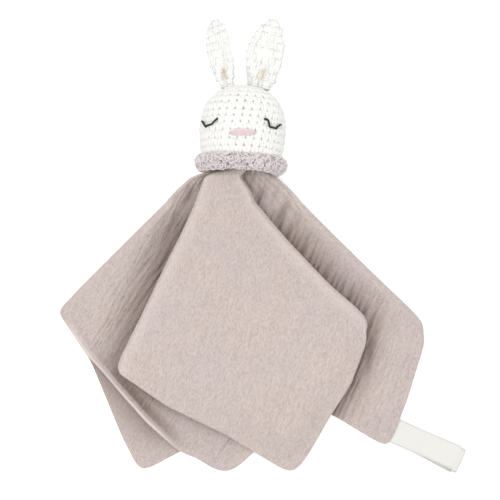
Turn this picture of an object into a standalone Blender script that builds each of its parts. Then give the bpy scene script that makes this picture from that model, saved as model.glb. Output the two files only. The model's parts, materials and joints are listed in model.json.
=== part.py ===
"""A comfort blanket lovey: a crocheted rabbit head on a double gauze muslin square.

The square is gathered at its centre, tied, and sewn up into a stuffed head with
a ribbed collar and two ears. It lies on its back, so the cloth falls from the
neck to the ground in a fan of six layers. +Z is up from the ground and +Y runs
from the cloth to the crown of the head. The origin is where the lowest layer
of the cloth rests, straight below the neck. All sizes are in metres.
"""

import math

import bmesh
import bpy
from mathutils import Matrix, Vector

# Cloth: a square of two plies
CLOTH_SIDE = 0.300
PLY_THICKNESS = 0.00085
PLY_GAP = 0.0003
CORNER_RADIUS = 0.008
LAYER_PITCH = 0.0027

# How the cloth lies: its lowest layer meets the ground well below the neck, and
# its lines fan out from a point above the neck's pivot, under the collar
REST_POINT_DROP = 0.135
FAN_RISE = 0.0070
CLOTH_START_DROP = 0.018
CLOTH_START_HEIGHT = 0.0160
START_LAYER_PITCH = 0.0037
START_HALF_WIDTH = 0.0440
LAND_DISTANCE = 0.100
STEEP_POWER = 2.0

# The gap that touching pieces keep
TOUCH_GAP = 0.0003

# Collar
COLLAR_OUTER_RADIUS = 0.0305
COLLAR_HEIGHT = 0.0115
COLLAR_SECTION_WIDTH = 0.0140
COLLAR_GROUND_GAP = 0.0005
# How far the collar stands out past the foot of the head that sits on it
COLLAR_LIP = 0.0043
COLLAR_RIBS = 34
COLLAR_RIB_DEPTH = 0.0011

# Head
HEAD_RADIUS = 0.0283
HEAD_MIDDLE = 0.0280
HEAD_TOP = 0.0580
HEAD_BOTTOM_ROUND = 0.0024
HEAD_WALL = 0.0020
HEAD_OPENING_CLEARANCE = 0.0035
HEAD_SHAPE_POWER = 2.35
HEAD_SIDE_SHARES = (0.0, 0.35, 0.7, 1.0)
HEAD_PITCH_DEGREES = -3.5
HEAD_LEAN_DEGREES = -2.75

# Ears
EAR_LENGTH = 0.0470
LEFT_EAR_WIDTH = 0.0210
RIGHT_EAR_WIDTH = 0.0256
EAR_STATION_SHARES = (0.0, 0.07, 0.16, 0.27, 0.39, 0.52, 0.64, 0.75, 0.85, 0.93, 0.985)
EAR_BASE_SHARE = 0.60
EAR_WIDEST_SHARE = 0.45
EAR_TIP_POWER = 1.9
EAR_TIP_ROUND_POWER = 0.75
EAR_THICKNESS = 0.0052
EAR_BASE_THICKNESS = 0.0070
EAR_CUP = 0.0022
EAR_CUP_SHARE = 0.3
EAR_CREASE_DEPTH = 0.0022
EAR_CREASE_WIDTH = 0.0030
EAR_CREASE_SHARE = 0.55
EAR_CREASE_POWER = 0.7
EAR_TWIST_SHARE = 0.45
LEFT_EAR_OFFSET = 0.0122
RIGHT_EAR_OFFSET = 0.0100
EAR_SEAM_RADIUS = 0.0009
EAR_SEAM_LENGTH = 0.0140
LEFT_EAR_TILT_DEGREES = 13.5
RIGHT_EAR_TILT_DEGREES = -12.7
LEFT_EAR_TWIST_DEGREES = -32.0
RIGHT_EAR_TWIST_DEGREES = -8.0
EAR_DROOP_DEGREES = -6.0

# Threads, stitched face and neck
THREAD_RADIUS = 0.0006
NECK_CLEARANCE = 0.0060
NECK_TOP_GAP = 0.0008
TIE_GROOVE = 0.0010
FLARE_SIDE_INSET = 0.0025
FLARE_FRONT_INSET = 0.0105
TIE_THREAD_RADIUS = 0.0007
TIE_TURNS = 3
TIE_PITCH = 0.0019
TIE_START = 0.0035
NOSE_WIDTH = 0.0160
NOSE_HEIGHT = 0.0038
NOSE_THICKNESS = 0.0016
NOSE_LEVEL = 0.0225
NOSE_ASIDE = 0.0006
NOSE_END_SHARE = 0.25
COLLAR_SEAM_LIFT = 0.0003
COLLAR_SEAM_OFFSET = 0.0009

# Tag: a folded tape whose two ends are sewn into the hem
TAG_WIDTH = 0.0168
TAG_LENGTH = 0.0495
TAG_TAPE = 0.0008
TAG_LOOP_HEIGHT = 0.0080
TAG_SEAM_RADIUS = 0.0008
TAG_INNER_END_SHARE = 0.10
TAG_SIDE_SHARES = (0.75, 0.5, 0.25)
TAG_RISE_POWER = 0.6
TAG_TURN_DEGREES = -4.7

# Mesh densities, and how near two points are that merge into one
HEAD_STEPS = 32
HEAD_TOP_STEPS = 9
SECTION_POINTS = 12
NOSE_SECTIONS = 10
TURN_STEPS = 20
TAG_END_STEPS = 8
MERGE_DISTANCE = 0.00005

COLLECTION_NAME = "comfort_blanket_lovey"

PLY_OUTSIDE = PLY_GAP / 2 + PLY_THICKNESS
LAND_HEIGHT = PLY_OUTSIDE
HALF_DIAGONAL = CLOTH_SIDE / math.sqrt(2)
# The collar's lower side is level with the pivot
COLLAR_LEVEL = COLLAR_HEIGHT / 2
HEAD_BOTTOM = COLLAR_HEIGHT + TOUCH_GAP
HEAD_BOTTOM_RADIUS = COLLAR_OUTER_RADIUS - COLLAR_LIP
# The gathered cloth passes through the collar's hole and ends under the head
NECK_RADIUS = COLLAR_OUTER_RADIUS - COLLAR_SECTION_WIDTH - NECK_CLEARANCE
NECK_WAIST = NECK_RADIUS - TIE_GROOVE
NECK_TOP = HEAD_BOTTOM - NECK_TOP_GAP
HEAD_NECK_OPENING = NECK_RADIUS + HEAD_OPENING_CLEARANCE
FLARE_WIDE = COLLAR_OUTER_RADIUS - FLARE_SIDE_INSET
FLARE_HIGH = COLLAR_OUTER_RADIUS - FLARE_FRONT_INSET
NECK_POINT = Vector((0.0, REST_POINT_DROP, COLLAR_OUTER_RADIUS + COLLAR_GROUND_GAP))
FAN_CENTRE = Vector((0.0, REST_POINT_DROP + FAN_RISE, 0.0))

# Lines that run from the neck to the hem, in order round the hem. Each has a
# name, the direction of its end in degrees from straight down, its length as a
# share of half the cloth's diagonal, its place across the neck as a share, its
# layer at the neck, and its layers where it lies and at the hem.
FRONT_SHARES = [
    ("right fold of front", 37.4, 0.662, 0.21, 5.2, 4.6, 4.4),
    ("right of front", 26.5, 0.772, 0.08, 5.4, 4.6, 2.8),
    ("right of front corner", 17.0, 0.866, -0.02, 5.5, 4.8, 2.1),
    ("front corner", 9.6, 0.994, -0.12, 5.6, 5.0, 0.2),
    ("left of front corner", 4.0, 0.915, -0.20, 5.6, 5.0, 2.7),
    ("middle of front", -3.0, 0.858, -0.30, 5.6, 4.9, 4.1),
    ("left of front", -17.0, 0.799, -0.48, 5.4, 4.6, 3.5),
    ("left fold of front", -30.8, 0.762, -0.67, 5.0, 4.3, 3.9),
]
LEFT_TUCK_SHARES = [
    ("left fold of front", -30.8, 0.762, -0.67, 3.9, 2.7, 2.5),
    ("left of tuck", -14.0, 0.760, -0.48, 4.3, 3.2, 3.0),
    ("tuck over right layers", -0.5, 0.797, -0.26, 4.5, 3.9, 3.8),
    ("left inner fold", 7.9, 0.848, -0.10, 4.6, 4.0, 3.9),
]
LEFT_SHARES = [
    ("left inner fold", 7.9, 0.848, -0.10, 3.6, 3.0, 2.9),
    ("left over right layers", 0.5, 0.947, -0.26, 3.4, 2.9, 1.4),
    ("left corner", -3.0, 0.981, -0.36, 3.3, 2.1, 0.2),
    ("left of corner", -17.0, 0.943, -0.58, 3.1, 1.4, 1.1),
    ("left middle", -29.5, 0.808, -0.82, 2.8, 1.2, 1.1),
    ("left fold", -51.5, 0.738, -1.12, 2.4, 2.5, 2.3),
]
BACK_SHARES = [
    ("left fold", -51.5, 0.738, -1.12, 0.9, 0.0, 0.0),
    ("left of back", -33.0, 0.874, -0.66, 0.3, 0.0, 0.0),
    ("back corner", -18.0, 1.025, -0.32, 0.0, 0.0, 0.0),
    ("middle of back", 2.0, 0.800, 0.02, 0.0, 0.0, 0.0),
    ("right of back", 26.0, 0.738, 0.45, 0.2, 0.0, 0.0),
    ("right fold", 48.3, 0.793, 0.90, 0.8, 0.0, 0.0),
]
RIGHT_SHARES = [
    ("right fold", 48.3, 0.793, 0.90, 2.2, 2.3, 2.1),
    ("right corner", 27.1, 1.013, 0.50, 2.5, 1.1, 0.2),
    ("middle of right", 15.0, 0.850, 0.20, 1.7, 1.0, 0.5),
    ("right inner fold", 1.65, 0.748, -0.18, 1.1, 1.0, 0.9),
]
RIGHT_TUCK_SHARES = [
    ("right inner fold", 1.65, 0.748, -0.18, 2.2, 2.0, 1.9),
    ("middle of right tuck", 20.0, 0.664, 0.06, 2.9, 2.4, 2.3),
    ("right fold of front", 37.4, 0.662, 0.21, 3.9, 3.0, 2.9),
]
# The way each fold bulges after its panel, left or right
PANELS = [
    (FRONT_SHARES, -1),
    (LEFT_TUCK_SHARES, 1),
    (LEFT_SHARES, -1),
    (BACK_SHARES, 1),
    (RIGHT_SHARES, -1),
    (RIGHT_TUCK_SHARES, 1),
]
CORNERS = ("front corner", "left corner", "back corner", "right corner")
ROW_SHARES = [0.0, 0.08, 0.17, 0.28, 0.42, 0.56, 0.70, 0.87, 0.94, 1.0]
OVERHANG_SHARE = 0.87
FOLD_TURNS_DEGREES = [50.0, 0.0, -50.0]

# The gathered cloth below the neck: how far down to the fan each section is,
# how much of the way its width and height are to the fan's, and its place too
FLARE_SHARES = [(1.0, 1.0, 1.0, 1.0), (0.64, 0.5, 1.0, 0.8), (0.32, 0.0, 0.5, 0.4)]
UNDER_COLLAR_SHARE = 0.10
NECK_START_SHARE = 0.03

# The closed eyes, as backstitches from outer to inner end: places across the
# face as shares of the head's radius, and up it as shares of the head's top
LEFT_EYE_SHARES = [(-0.936, 0.526), (-0.835, 0.449), (-0.693, 0.463), (-0.539, 0.547)]
RIGHT_EYE_SHARES = [(0.484, 0.544), (0.603, 0.516), (0.623, 0.457), (0.757, 0.457), (0.881, 0.528)]
EYE_STEPS = 3


def clear_scene():
    """Remove what the scene holds, so the model starts alone."""
    for item in list(bpy.data.objects):
        bpy.data.objects.remove(item, do_unlink=True)


def make_material(name, colour, roughness):
    """A plain fabric or thread finish."""
    material = bpy.data.materials.new(name)
    material.use_nodes = True
    shader = material.node_tree.nodes["Principled BSDF"]
    shader.inputs["Base Color"].default_value = (*colour, 1.0)
    shader.inputs["Roughness"].default_value = roughness
    shader.inputs["Metallic"].default_value = 0.0
    material.diffuse_color = (*colour, 1.0)
    return material


def finish(item, material, parent):
    """Give a new object its material, collection and parent."""
    item.data.materials.clear()
    item.data.materials.append(material)
    for holder in list(item.users_collection):
        holder.objects.unlink(item)
    bpy.data.collections[COLLECTION_NAME].objects.link(item)
    item.parent = parent
    if item.type == "MESH":
        item.data.shade_smooth()
        item.data.set_sharp_from_angle(angle=math.radians(50.0))
    return item


def mesh_object(name, points, faces, material, parent=None):
    """An object from points and faces that a loft has worked out."""
    mesh = bpy.data.meshes.new(name)
    mesh.from_pydata([tuple(point) for point in points], [], faces)
    mesh.update()
    item = bpy.data.objects.new(name, mesh)
    bpy.context.scene.collection.objects.link(item)
    return finish(item, material, parent)


def pivot_empty(name, place, turn, parent=None):
    """An empty on a joint's axis, which carries the pieces that turn there."""
    empty = bpy.data.objects.new(name, None)
    bpy.data.collections[COLLECTION_NAME].objects.link(empty)
    empty.parent = parent
    empty.matrix_local = Matrix.Translation(place) @ turn
    return empty


def tube_object(name, points, radius, material, parent=None, closed=False):
    """A thread along a list of points, with filled ends."""
    curve = bpy.data.curves.new(name, "CURVE")
    curve.dimensions = "3D"
    curve.bevel_depth = radius
    curve.bevel_resolution = 1
    curve.use_fill_caps = not closed
    spline = curve.splines.new("POLY")
    spline.points.add(len(points) - 1)
    for slot, point in zip(spline.points, points):
        slot.co = (*point, 1.0)
    spline.use_cyclic_u = closed
    item = bpy.data.objects.new(name, curve)
    bpy.context.scene.collection.objects.link(item)
    return finish(item, material, parent)


def turned_object(name, profile, material, parent):
    """A solid of revolution round the head's axis, from a profile in radius and height."""
    mesh = bpy.data.meshes.new(name)
    edges = [(index, index + 1) for index in range(len(profile) - 1)]
    mesh.from_pydata([(radius, 0.0, height) for radius, height in profile], edges, [])
    item = bpy.data.objects.new(name, mesh)
    bpy.context.scene.collection.objects.link(item)
    screw = item.modifiers.new("turn", "SCREW")
    screw.steps = HEAD_STEPS
    screw.render_steps = HEAD_STEPS
    screw.use_merge_vertices = True
    screw.merge_threshold = MERGE_DISTANCE
    screw.use_smooth_shade = True
    finish(item, material, parent)
    item.rotation_euler = (math.radians(-90.0), 0.0, 0.0)
    return item


def ring_loft(rings):
    """Points and faces of a closed solid through rings of equal count, with flat ends."""
    count = len(rings[0])
    points = [point for ring in rings for point in ring]
    faces = []
    for row in range(len(rings) - 1):
        for slot in range(count):
            after = (slot + 1) % count
            low, high = row * count, (row + 1) * count
            faces.append((low + slot, low + after, high + after, high + slot))
    faces.append(tuple(reversed(range(count))))
    last = (len(rings) - 1) * count
    faces.append(tuple(last + slot for slot in range(count)))
    return points, faces


def outward(item):
    """Turn a closed mesh's faces outward."""
    work = bmesh.new()
    work.from_mesh(item.data)
    bmesh.ops.recalc_face_normals(work, faces=work.faces)
    work.to_mesh(item.data)
    work.free()
    item.data.update()
    return item


# The cloth

def line_end(angle, reach_share):
    """Where a line reaches the hem, on the ground plan."""
    turn = math.radians(angle)
    reach = reach_share * HALF_DIAGONAL
    return FAN_CENTRE + Vector((math.sin(turn) * reach, -math.cos(turn) * reach, 0.0))


def line_start(across_share):
    """Where a line leaves the neck, on the ground plan."""
    across = across_share * START_HALF_WIDTH
    return Vector((across, NECK_POINT.y - CLOTH_START_DROP, 0.0))


def line_height(line, row_share, distance):
    """The height of the cloth's middle on a line, at a distance from where it leaves the neck."""
    start_layer, lying_layer, hem_layer = line[4:]
    over = max(0.0, (row_share - OVERHANG_SHARE) / (1.0 - OVERHANG_SHARE))
    layer = lying_layer + (hem_layer - lying_layer) * over
    low = LAND_HEIGHT + layer * LAYER_PITCH
    high = CLOTH_START_HEIGHT + start_layer * START_LAYER_PITCH
    steep = max(0.0, 1.0 - distance / LAND_DISTANCE) ** STEEP_POWER
    return low + (high - low) * steep


def corner_shoulder(line, tip, other):
    """Where a corner's round meets the hem on the side of another line, and the cloth's line there."""
    away = line_end(*other[1:3]) - tip
    share = CORNER_RADIUS / away.length
    outward_way = (tip - FAN_CENTRE).normalized()
    shoulder = tip + away * share + outward_way * (CORNER_RADIUS * (math.sqrt(2) - 1) / 2)
    mixed = tuple(a + (b - a) * share for a, b in zip(line[3:], other[3:]))
    return (line[0] + " shoulder", 0.0, 0.0) + mixed, shoulder


def with_rounded_corners(panel):
    """A panel's lines with their ends, and two shoulders beside each rounded corner's tip."""
    lines = []
    for index, line in enumerate(panel):
        tip = line_end(*line[1:3])
        if line[0] in CORNERS:
            lines.append(corner_shoulder(line, tip, panel[index - 1]))
            lines.append((line, tip))
            lines.append(corner_shoulder(line, tip, panel[index + 1]))
        else:
            lines.append((line, tip))
    return lines


def panel_row(lines, row_share):
    """A panel's points at one row, from its first line to its last."""
    row = []
    for line, end in lines:
        start = line_start(line[3])
        place = start + (end - start) * row_share
        place.z = line_height(line, row_share, (place - start).length)
        row.append(place)
    return row


def fold_points(edge, next_edge, side, row_direction):
    """The round of a fold from one panel's edge to the next one's, bulging to a side."""
    bulge = Vector((row_direction.y, -row_direction.x, 0.0)) * -side
    middle = (edge + next_edge) / 2
    half = (edge.z - next_edge.z) / 2
    points = []
    for turn in FOLD_TURNS_DEGREES:
        angle = math.radians(turn)
        reach = abs(half) * math.cos(angle)
        points.append(middle + bulge * reach + Vector((0.0, 0.0, half * math.sin(angle))))
    return points


def cloth_grid():
    """Rows of the cloth's middle surface, each a closed loop round the neck."""
    panels = [(with_rounded_corners(panel), side) for panel, side in PANELS]
    grid = []
    for row_share in ROW_SHARES:
        rows = [panel_row(lines, row_share) for lines, side in panels]
        for index, (lines, side) in enumerate(panels):
            following = (index + 1) % len(panels)
            line, end = lines[-1]
            direction = (end - line_start(line[3])).normalized()
            inset = Vector((direction.y, -direction.x, 0.0)) * side
            half = abs(rows[index][-1].z - rows[following][0].z) / 2
            rows[index][-1] = rows[index][-1] + inset * half
            rows[following][0] = rows[following][0] + inset * half
        loop = []
        for index, (lines, side) in enumerate(panels):
            following = (index + 1) % len(panels)
            line, end = lines[-1]
            direction = (end - line_start(line[3])).normalized()
            loop.extend(rows[index])
            loop.extend(fold_points(rows[index][-1], rows[following][0], side, direction))
        grid.append(loop)
    return grid


def grid_normals(grid):
    """The direction of the cloth's face side at each point of its grid."""
    count = len(grid[0])
    normals = []
    for row, loop in enumerate(grid):
        above = grid[max(row - 1, 0)]
        below = grid[min(row + 1, len(grid) - 1)]
        line = []
        for slot in range(count):
            before = loop[slot] - loop[slot - 1]
            after = loop[(slot + 1) % count] - loop[slot]
            along = before.normalized() + after.normalized()
            down = below[slot] - above[slot]
            normal = along.cross(down)
            if row == 0:
                normal.y = 0.0
            line.append(normal.normalized())
        normals.append(line)
    return normals


def ply_object(name, grid, normals, near, far, material):
    """One ply of the cloth, between two distances from the cloth's middle."""
    count = len(grid[0])
    rows = len(grid)
    points = []
    for distance in (near, far):
        for loop, line in zip(grid, normals):
            for place, normal in zip(loop, line):
                point = place + normal * distance
                point.z = max(point.z, 0.0)
                points.append(point)
    faces = []
    layer = rows * count
    for row in range(rows - 1):
        for slot in range(count):
            after = (slot + 1) % count
            low, high = row * count, (row + 1) * count
            # both sides of both plies are split along the same diagonal
            first_half = (low + slot, low + after, high + after)
            second_half = (low + slot, high + after, high + slot)
            for corners in (first_half, second_half):
                faces.append(corners)
                faces.append(tuple(layer + corner for corner in reversed(corners)))
    for slot in range(count):
        after = (slot + 1) % count
        last = (rows - 1) * count
        faces.append((after, slot, layer + slot, layer + after))
        faces.append((last + slot, last + after, layer + last + after, layer + last + slot))
    return outward(mesh_object(name, points, faces, material))


def make_cloth(face_material, lining_material):
    """The two plies of the square."""
    grid = cloth_grid()
    normals = grid_normals(grid)
    near = PLY_GAP / 2
    ply_object("muslin_face", grid, normals, near, PLY_OUTSIDE, face_material)
    ply_object("muslin_lining", grid, normals, -near, -PLY_OUTSIDE, lining_material)


# The neck

def make_neck(cloth_material, thread_material, neck):
    """The gathered middle of the cloth, and the thread that ties it."""
    middle_layer = (FRONT_SHARES[3][4] + BACK_SHARES[2][4]) / 2
    stack_middle = CLOTH_START_HEIGHT + middle_layer * START_LAYER_PITCH
    stack_half = (FRONT_SHARES[3][4] - BACK_SHARES[2][4]) / 2 * START_LAYER_PITCH
    left = LEFT_SHARES[-1][3] * START_HALF_WIDTH
    right = RIGHT_SHARES[0][3] * START_HALF_WIDTH
    turn = neck.matrix_world
    waist_margin = 2 * TIE_THREAD_RADIUS
    drop = CLOTH_START_DROP - TOUCH_GAP
    fan_half = (right - left) / 2
    # each section has its way along the neck, its half width and half height
    sections = []
    for down_share, wide_share, high_share, place_share in FLARE_SHARES:
        half_width = FLARE_WIDE + (fan_half - FLARE_WIDE) * wide_share
        half_height = FLARE_HIGH + (stack_half - FLARE_HIGH) * high_share
        sections.append((-drop * down_share, half_width, half_height, place_share))
    sections.append((-drop * UNDER_COLLAR_SHARE, FLARE_HIGH, FLARE_HIGH, 0.0))
    sections.append((-drop * NECK_START_SHARE, NECK_RADIUS, NECK_RADIUS, 0.0))
    sections.append((TIE_START - waist_margin, NECK_WAIST, NECK_WAIST, 0.0))
    sections.append((TIE_START + TIE_TURNS * TIE_PITCH + waist_margin, NECK_WAIST, NECK_WAIST, 0.0))
    sections.append((NECK_TOP, NECK_RADIUS, NECK_RADIUS, 0.0))
    rings = []
    count = 2 * SECTION_POINTS
    for along, half_width, half_height, place_share in sections:
        ring = []
        for slot in range(count):
            angle = math.tau * slot / count
            arm = Vector((math.cos(angle) * half_width, 0.0, math.sin(angle) * half_height))
            on_neck = turn @ (arm + Vector((0.0, along, 0.0)))
            on_cloth = arm + Vector(((left + right) / 2, NECK_POINT.y + along, stack_middle))
            ring.append(on_neck.lerp(on_cloth, place_share))
        rings.append(ring)
    points, faces = ring_loft(rings)
    back = turn.inverted()
    outward(mesh_object("neck_gather", [back @ point for point in points], faces, cloth_material, neck))
    radius = NECK_WAIST + TOUCH_GAP + TIE_THREAD_RADIUS
    winding = []
    for step in range(TIE_TURNS * TURN_STEPS + 1):
        angle = math.tau * step / TURN_STEPS
        along = TIE_START + TIE_PITCH * step / TURN_STEPS
        winding.append((math.cos(angle) * radius, along, math.sin(angle) * radius))
    print("neck tie gap to itself, mm:", round((TIE_PITCH - 2 * TIE_THREAD_RADIUS) * 1000, 3))
    tube_object("neck_tie", winding, TIE_THREAD_RADIUS, thread_material, neck)


# The head

def head_radius(height, shrink=0.0):
    """The head's radius at a height along its axis, on a surface sunk by a distance."""
    half = HEAD_TOP - HEAD_MIDDLE - shrink
    rise = min(1.0, abs(height - HEAD_MIDDLE) / half)
    upper = (HEAD_RADIUS - shrink) * (1.0 - rise ** HEAD_SHAPE_POWER) ** (1.0 / HEAD_SHAPE_POWER)
    if height >= HEAD_MIDDLE:
        return upper
    drop = (HEAD_MIDDLE - height) / (HEAD_MIDDLE - HEAD_BOTTOM)
    return HEAD_RADIUS - shrink - (HEAD_RADIUS - HEAD_BOTTOM_RADIUS) * drop ** 2


def head_profile(shrink, opening):
    """The head's outline from the crown down to its neck opening, sunk by a distance."""
    profile = [(0.0, HEAD_TOP - shrink)]
    half = HEAD_TOP - HEAD_MIDDLE - shrink
    for step in range(1, HEAD_TOP_STEPS):
        angle = math.pi / 2 * step / HEAD_TOP_STEPS
        power = 2.0 / HEAD_SHAPE_POWER
        radius = (HEAD_RADIUS - shrink) * math.sin(angle) ** power
        profile.append((radius, HEAD_MIDDLE + half * math.cos(angle) ** power))
    bottom = HEAD_BOTTOM + shrink
    for share in HEAD_SIDE_SHARES:
        height = HEAD_MIDDLE + (bottom + HEAD_BOTTOM_ROUND - HEAD_MIDDLE) * share
        profile.append((head_radius(height, shrink), height))
    corner = profile[-1][0] - HEAD_BOTTOM_ROUND
    for turn in (30.0, 60.0, 90.0):
        angle = math.radians(turn)
        profile.append((corner + HEAD_BOTTOM_ROUND * math.cos(angle),
                        bottom + HEAD_BOTTOM_ROUND * (1.0 - math.sin(angle))))
    profile.append((opening, bottom))
    return profile


def make_head(cover_material, filling_material, neck):
    """The crocheted cover, a shell that is open at the neck, and the filling in it."""
    outside = head_profile(0.0, HEAD_NECK_OPENING)
    inside = head_profile(HEAD_WALL, HEAD_NECK_OPENING)
    turned_object("head_cover", outside + inside[::-1], cover_material, neck)
    filling = head_profile(HEAD_WALL + TOUCH_GAP, HEAD_NECK_OPENING)
    turned_object("head_filling", filling + [(0.0, filling[-1][1])], filling_material, neck)


def on_face(across, height, lift):
    """A point on the front of the head, lifted off it by a distance."""
    radius = head_radius(height) + lift
    return Vector((across, height, math.sqrt(max(radius ** 2 - across ** 2, 0.0))))


def make_eye(name, shares, material, neck):
    """A closed eye: backstitches laid over the head's front."""
    lift = TOUCH_GAP + THREAD_RADIUS
    places = [(across * HEAD_RADIUS, height * HEAD_TOP) for across, height in shares]
    points = []
    for first, second in zip(places, places[1:]):
        for step in range(EYE_STEPS):
            part = step / EYE_STEPS
            across = first[0] + (second[0] - first[0]) * part
            height = first[1] + (second[1] - first[1]) * part
            points.append(on_face(across, height, lift))
    points.append(on_face(*places[-1], lift))
    tube_object(name, points, THREAD_RADIUS, material, neck)


def make_nose(material, neck):
    """A padded bar of satin stitches across the front of the head."""
    rings = []
    for section in range(NOSE_SECTIONS + 1):
        share = section / NOSE_SECTIONS * 2.0 - 1.0
        across = NOSE_ASIDE + share * NOSE_WIDTH / 2
        swell = max(NOSE_END_SHARE, (1.0 - abs(share) ** 4) ** 0.5)
        ring = []
        for slot in range(SECTION_POINTS):
            angle = math.tau * slot / SECTION_POINTS
            height = NOSE_LEVEL + math.cos(angle) * NOSE_HEIGHT / 2 * swell
            rise = TOUCH_GAP + (1.0 + math.sin(angle)) * NOSE_THICKNESS / 2 * swell
            ring.append(on_face(across, height, rise))
        rings.append(ring)
    points, faces = ring_loft(rings)
    outward(mesh_object("nose", points, faces, material, neck))


def make_collar(material, thread_material, neck):
    """The ribbed collar, a ring round the neck, and the thread that sews it to the head."""
    section_radius = COLLAR_SECTION_WIDTH / 2
    ring_radius = COLLAR_OUTER_RADIUS - section_radius
    bpy.ops.mesh.primitive_torus_add(major_segments=2 * COLLAR_RIBS, minor_segments=SECTION_POINTS,
                                     major_radius=ring_radius, minor_radius=section_radius)
    collar = bpy.context.object
    collar.name = "collar"
    flatten = COLLAR_HEIGHT / COLLAR_SECTION_WIDTH
    for vertex in collar.data.vertices:
        place = vertex.co
        flat = Vector((place.x, place.y, 0.0))
        core = flat.normalized() * ring_radius
        slot = round(math.atan2(place.y, place.x) / math.tau * 2 * COLLAR_RIBS)
        sink = COLLAR_RIB_DEPTH if slot % 2 else 0.0
        arm = (place - core) * (1.0 - sink / section_radius)
        arm.z *= flatten
        vertex.co = core + arm
    finish(collar, material, neck)
    collar.location = (0.0, COLLAR_LEVEL, 0.0)
    collar.rotation_euler = (math.radians(-90.0), 0.0, 0.0)
    # the thread lies in the notch between the collar's top and the head's rounded foot
    seam_radius = HEAD_BOTTOM_RADIUS + THREAD_RADIUS + TOUCH_GAP + COLLAR_SEAM_OFFSET
    notch_share = (seam_radius - ring_radius) / section_radius
    seam_level = COLLAR_LEVEL + COLLAR_HEIGHT / 2 * math.sqrt(1.0 - notch_share ** 2)
    seam_level = seam_level + THREAD_RADIUS + TOUCH_GAP + COLLAR_SEAM_LIFT
    ring = []
    for step in range(2 * TURN_STEPS):
        angle = math.pi * step / TURN_STEPS
        ring.append((math.cos(angle) * seam_radius, seam_level, math.sin(angle) * seam_radius))
    tube_object("collar_seam", ring, THREAD_RADIUS, thread_material, neck, closed=True)


# The ears

def ear_points(width, mirror):
    """A leaf that swells from its gathered base and tapers to its tip, cupped forward."""
    widest = EAR_WIDEST_SHARE
    start = EAR_SEAM_RADIUS + TOUCH_GAP
    rings = []
    for station in EAR_STATION_SHARES:
        if station < widest:
            swell = math.sin(math.pi / 2 * station / widest)
            swell = EAR_BASE_SHARE + (1.0 - EAR_BASE_SHARE) * swell
        else:
            swell = (1.0 - ((station - widest) / (1.0 - widest)) ** EAR_TIP_POWER) ** EAR_TIP_ROUND_POWER
        half_width = width / 2 * swell
        gather = (1.0 - station) ** 4
        thick = EAR_THICKNESS + (EAR_BASE_THICKNESS - EAR_THICKNESS) * gather
        half_thick = thick / 2 * (1.0 - station ** 7) ** 0.5
        crease = EAR_CREASE_DEPTH * max(0.0, 1.0 - station / EAR_CREASE_SHARE) ** EAR_CREASE_POWER
        ring = []
        count = SECTION_POINTS + 4
        for slot in range(count):
            angle = math.tau * slot / count
            across = math.cos(angle) * half_width
            rise = math.sin(angle) * half_thick
            if rise > 0.0:
                rise = rise - crease * math.exp(-(across / EAR_CREASE_WIDTH) ** 2)
            cup = EAR_CUP * (across / (width / 2)) ** 2 * min(1.0, station / EAR_CUP_SHARE)
            ring.append(Vector((across * mirror, start + station * (EAR_LENGTH - start), rise + cup)))
        rings.append(ring)
    return ring_loft(rings)


def make_ear(name, aside, width, tilt, twist, material, thread_material, neck):
    """An ear on the crown, hinged along the thread that sews it there."""
    foot_height = HEAD_MIDDLE + (HEAD_TOP - HEAD_MIDDLE) * (
        1.0 - (abs(aside) / HEAD_RADIUS) ** HEAD_SHAPE_POWER) ** (1.0 / HEAD_SHAPE_POWER)
    clear = EAR_SEAM_RADIUS + TOUCH_GAP + EAR_SEAM_LENGTH / 2 * math.tan(math.radians(abs(tilt)) / 2)
    place = Vector((aside, foot_height + clear, 0.0))
    turn = Matrix.Rotation(math.radians(tilt), 4, "Z")
    turn = turn @ Matrix.Rotation(math.radians(EAR_DROOP_DEGREES), 4, "X")
    pivot = pivot_empty(name + "_pivot", place, turn, neck)
    points, faces = ear_points(width, math.copysign(1.0, aside))
    twisted = []
    for point in points:
        share = min(1.0, point.y / (EAR_LENGTH * EAR_TWIST_SHARE))
        twisted.append(Matrix.Rotation(math.radians(twist) * share, 4, "Y") @ point)
    outward(mesh_object(name, twisted, faces, material, pivot))
    half = EAR_SEAM_LENGTH / 2
    tube_object(name + "_seam", [(-half, 0.0, 0.0), (0.0, 0.0, 0.0), (half, 0.0, 0.0)],
                EAR_SEAM_RADIUS, thread_material, pivot)
    return pivot


# The tag

def tag_outline(inset):
    """The side view of the tape loop: flat below, swelling above to a round end."""
    tail = TAG_SEAM_RADIUS + TOUCH_GAP
    rise = TAG_LOOP_HEIGHT - 2 * inset
    end = TAG_LENGTH - inset
    pinch = 2 * TAG_TAPE - 2 * inset
    outline = []
    radius = rise / 2
    for step in range(TAG_END_STEPS + 1):
        angle = math.pi * (step / TAG_END_STEPS - 0.5)
        outline.append((end - radius + radius * math.cos(angle), inset + radius + radius * math.sin(angle)))
    start = tail + inset
    if inset:
        start = start + TAG_LENGTH * TAG_INNER_END_SHARE
        pinch = TAG_TAPE
    for share in TAG_SIDE_SHARES:
        along = start + (end - radius - start) * share
        ease = share * share * (3.0 - 2.0 * share)
        outline.append((along, inset + pinch + (rise - pinch) * ease ** TAG_RISE_POWER))
    outline.append((start, inset + pinch))
    outline.append((start, inset))
    return outline


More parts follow.
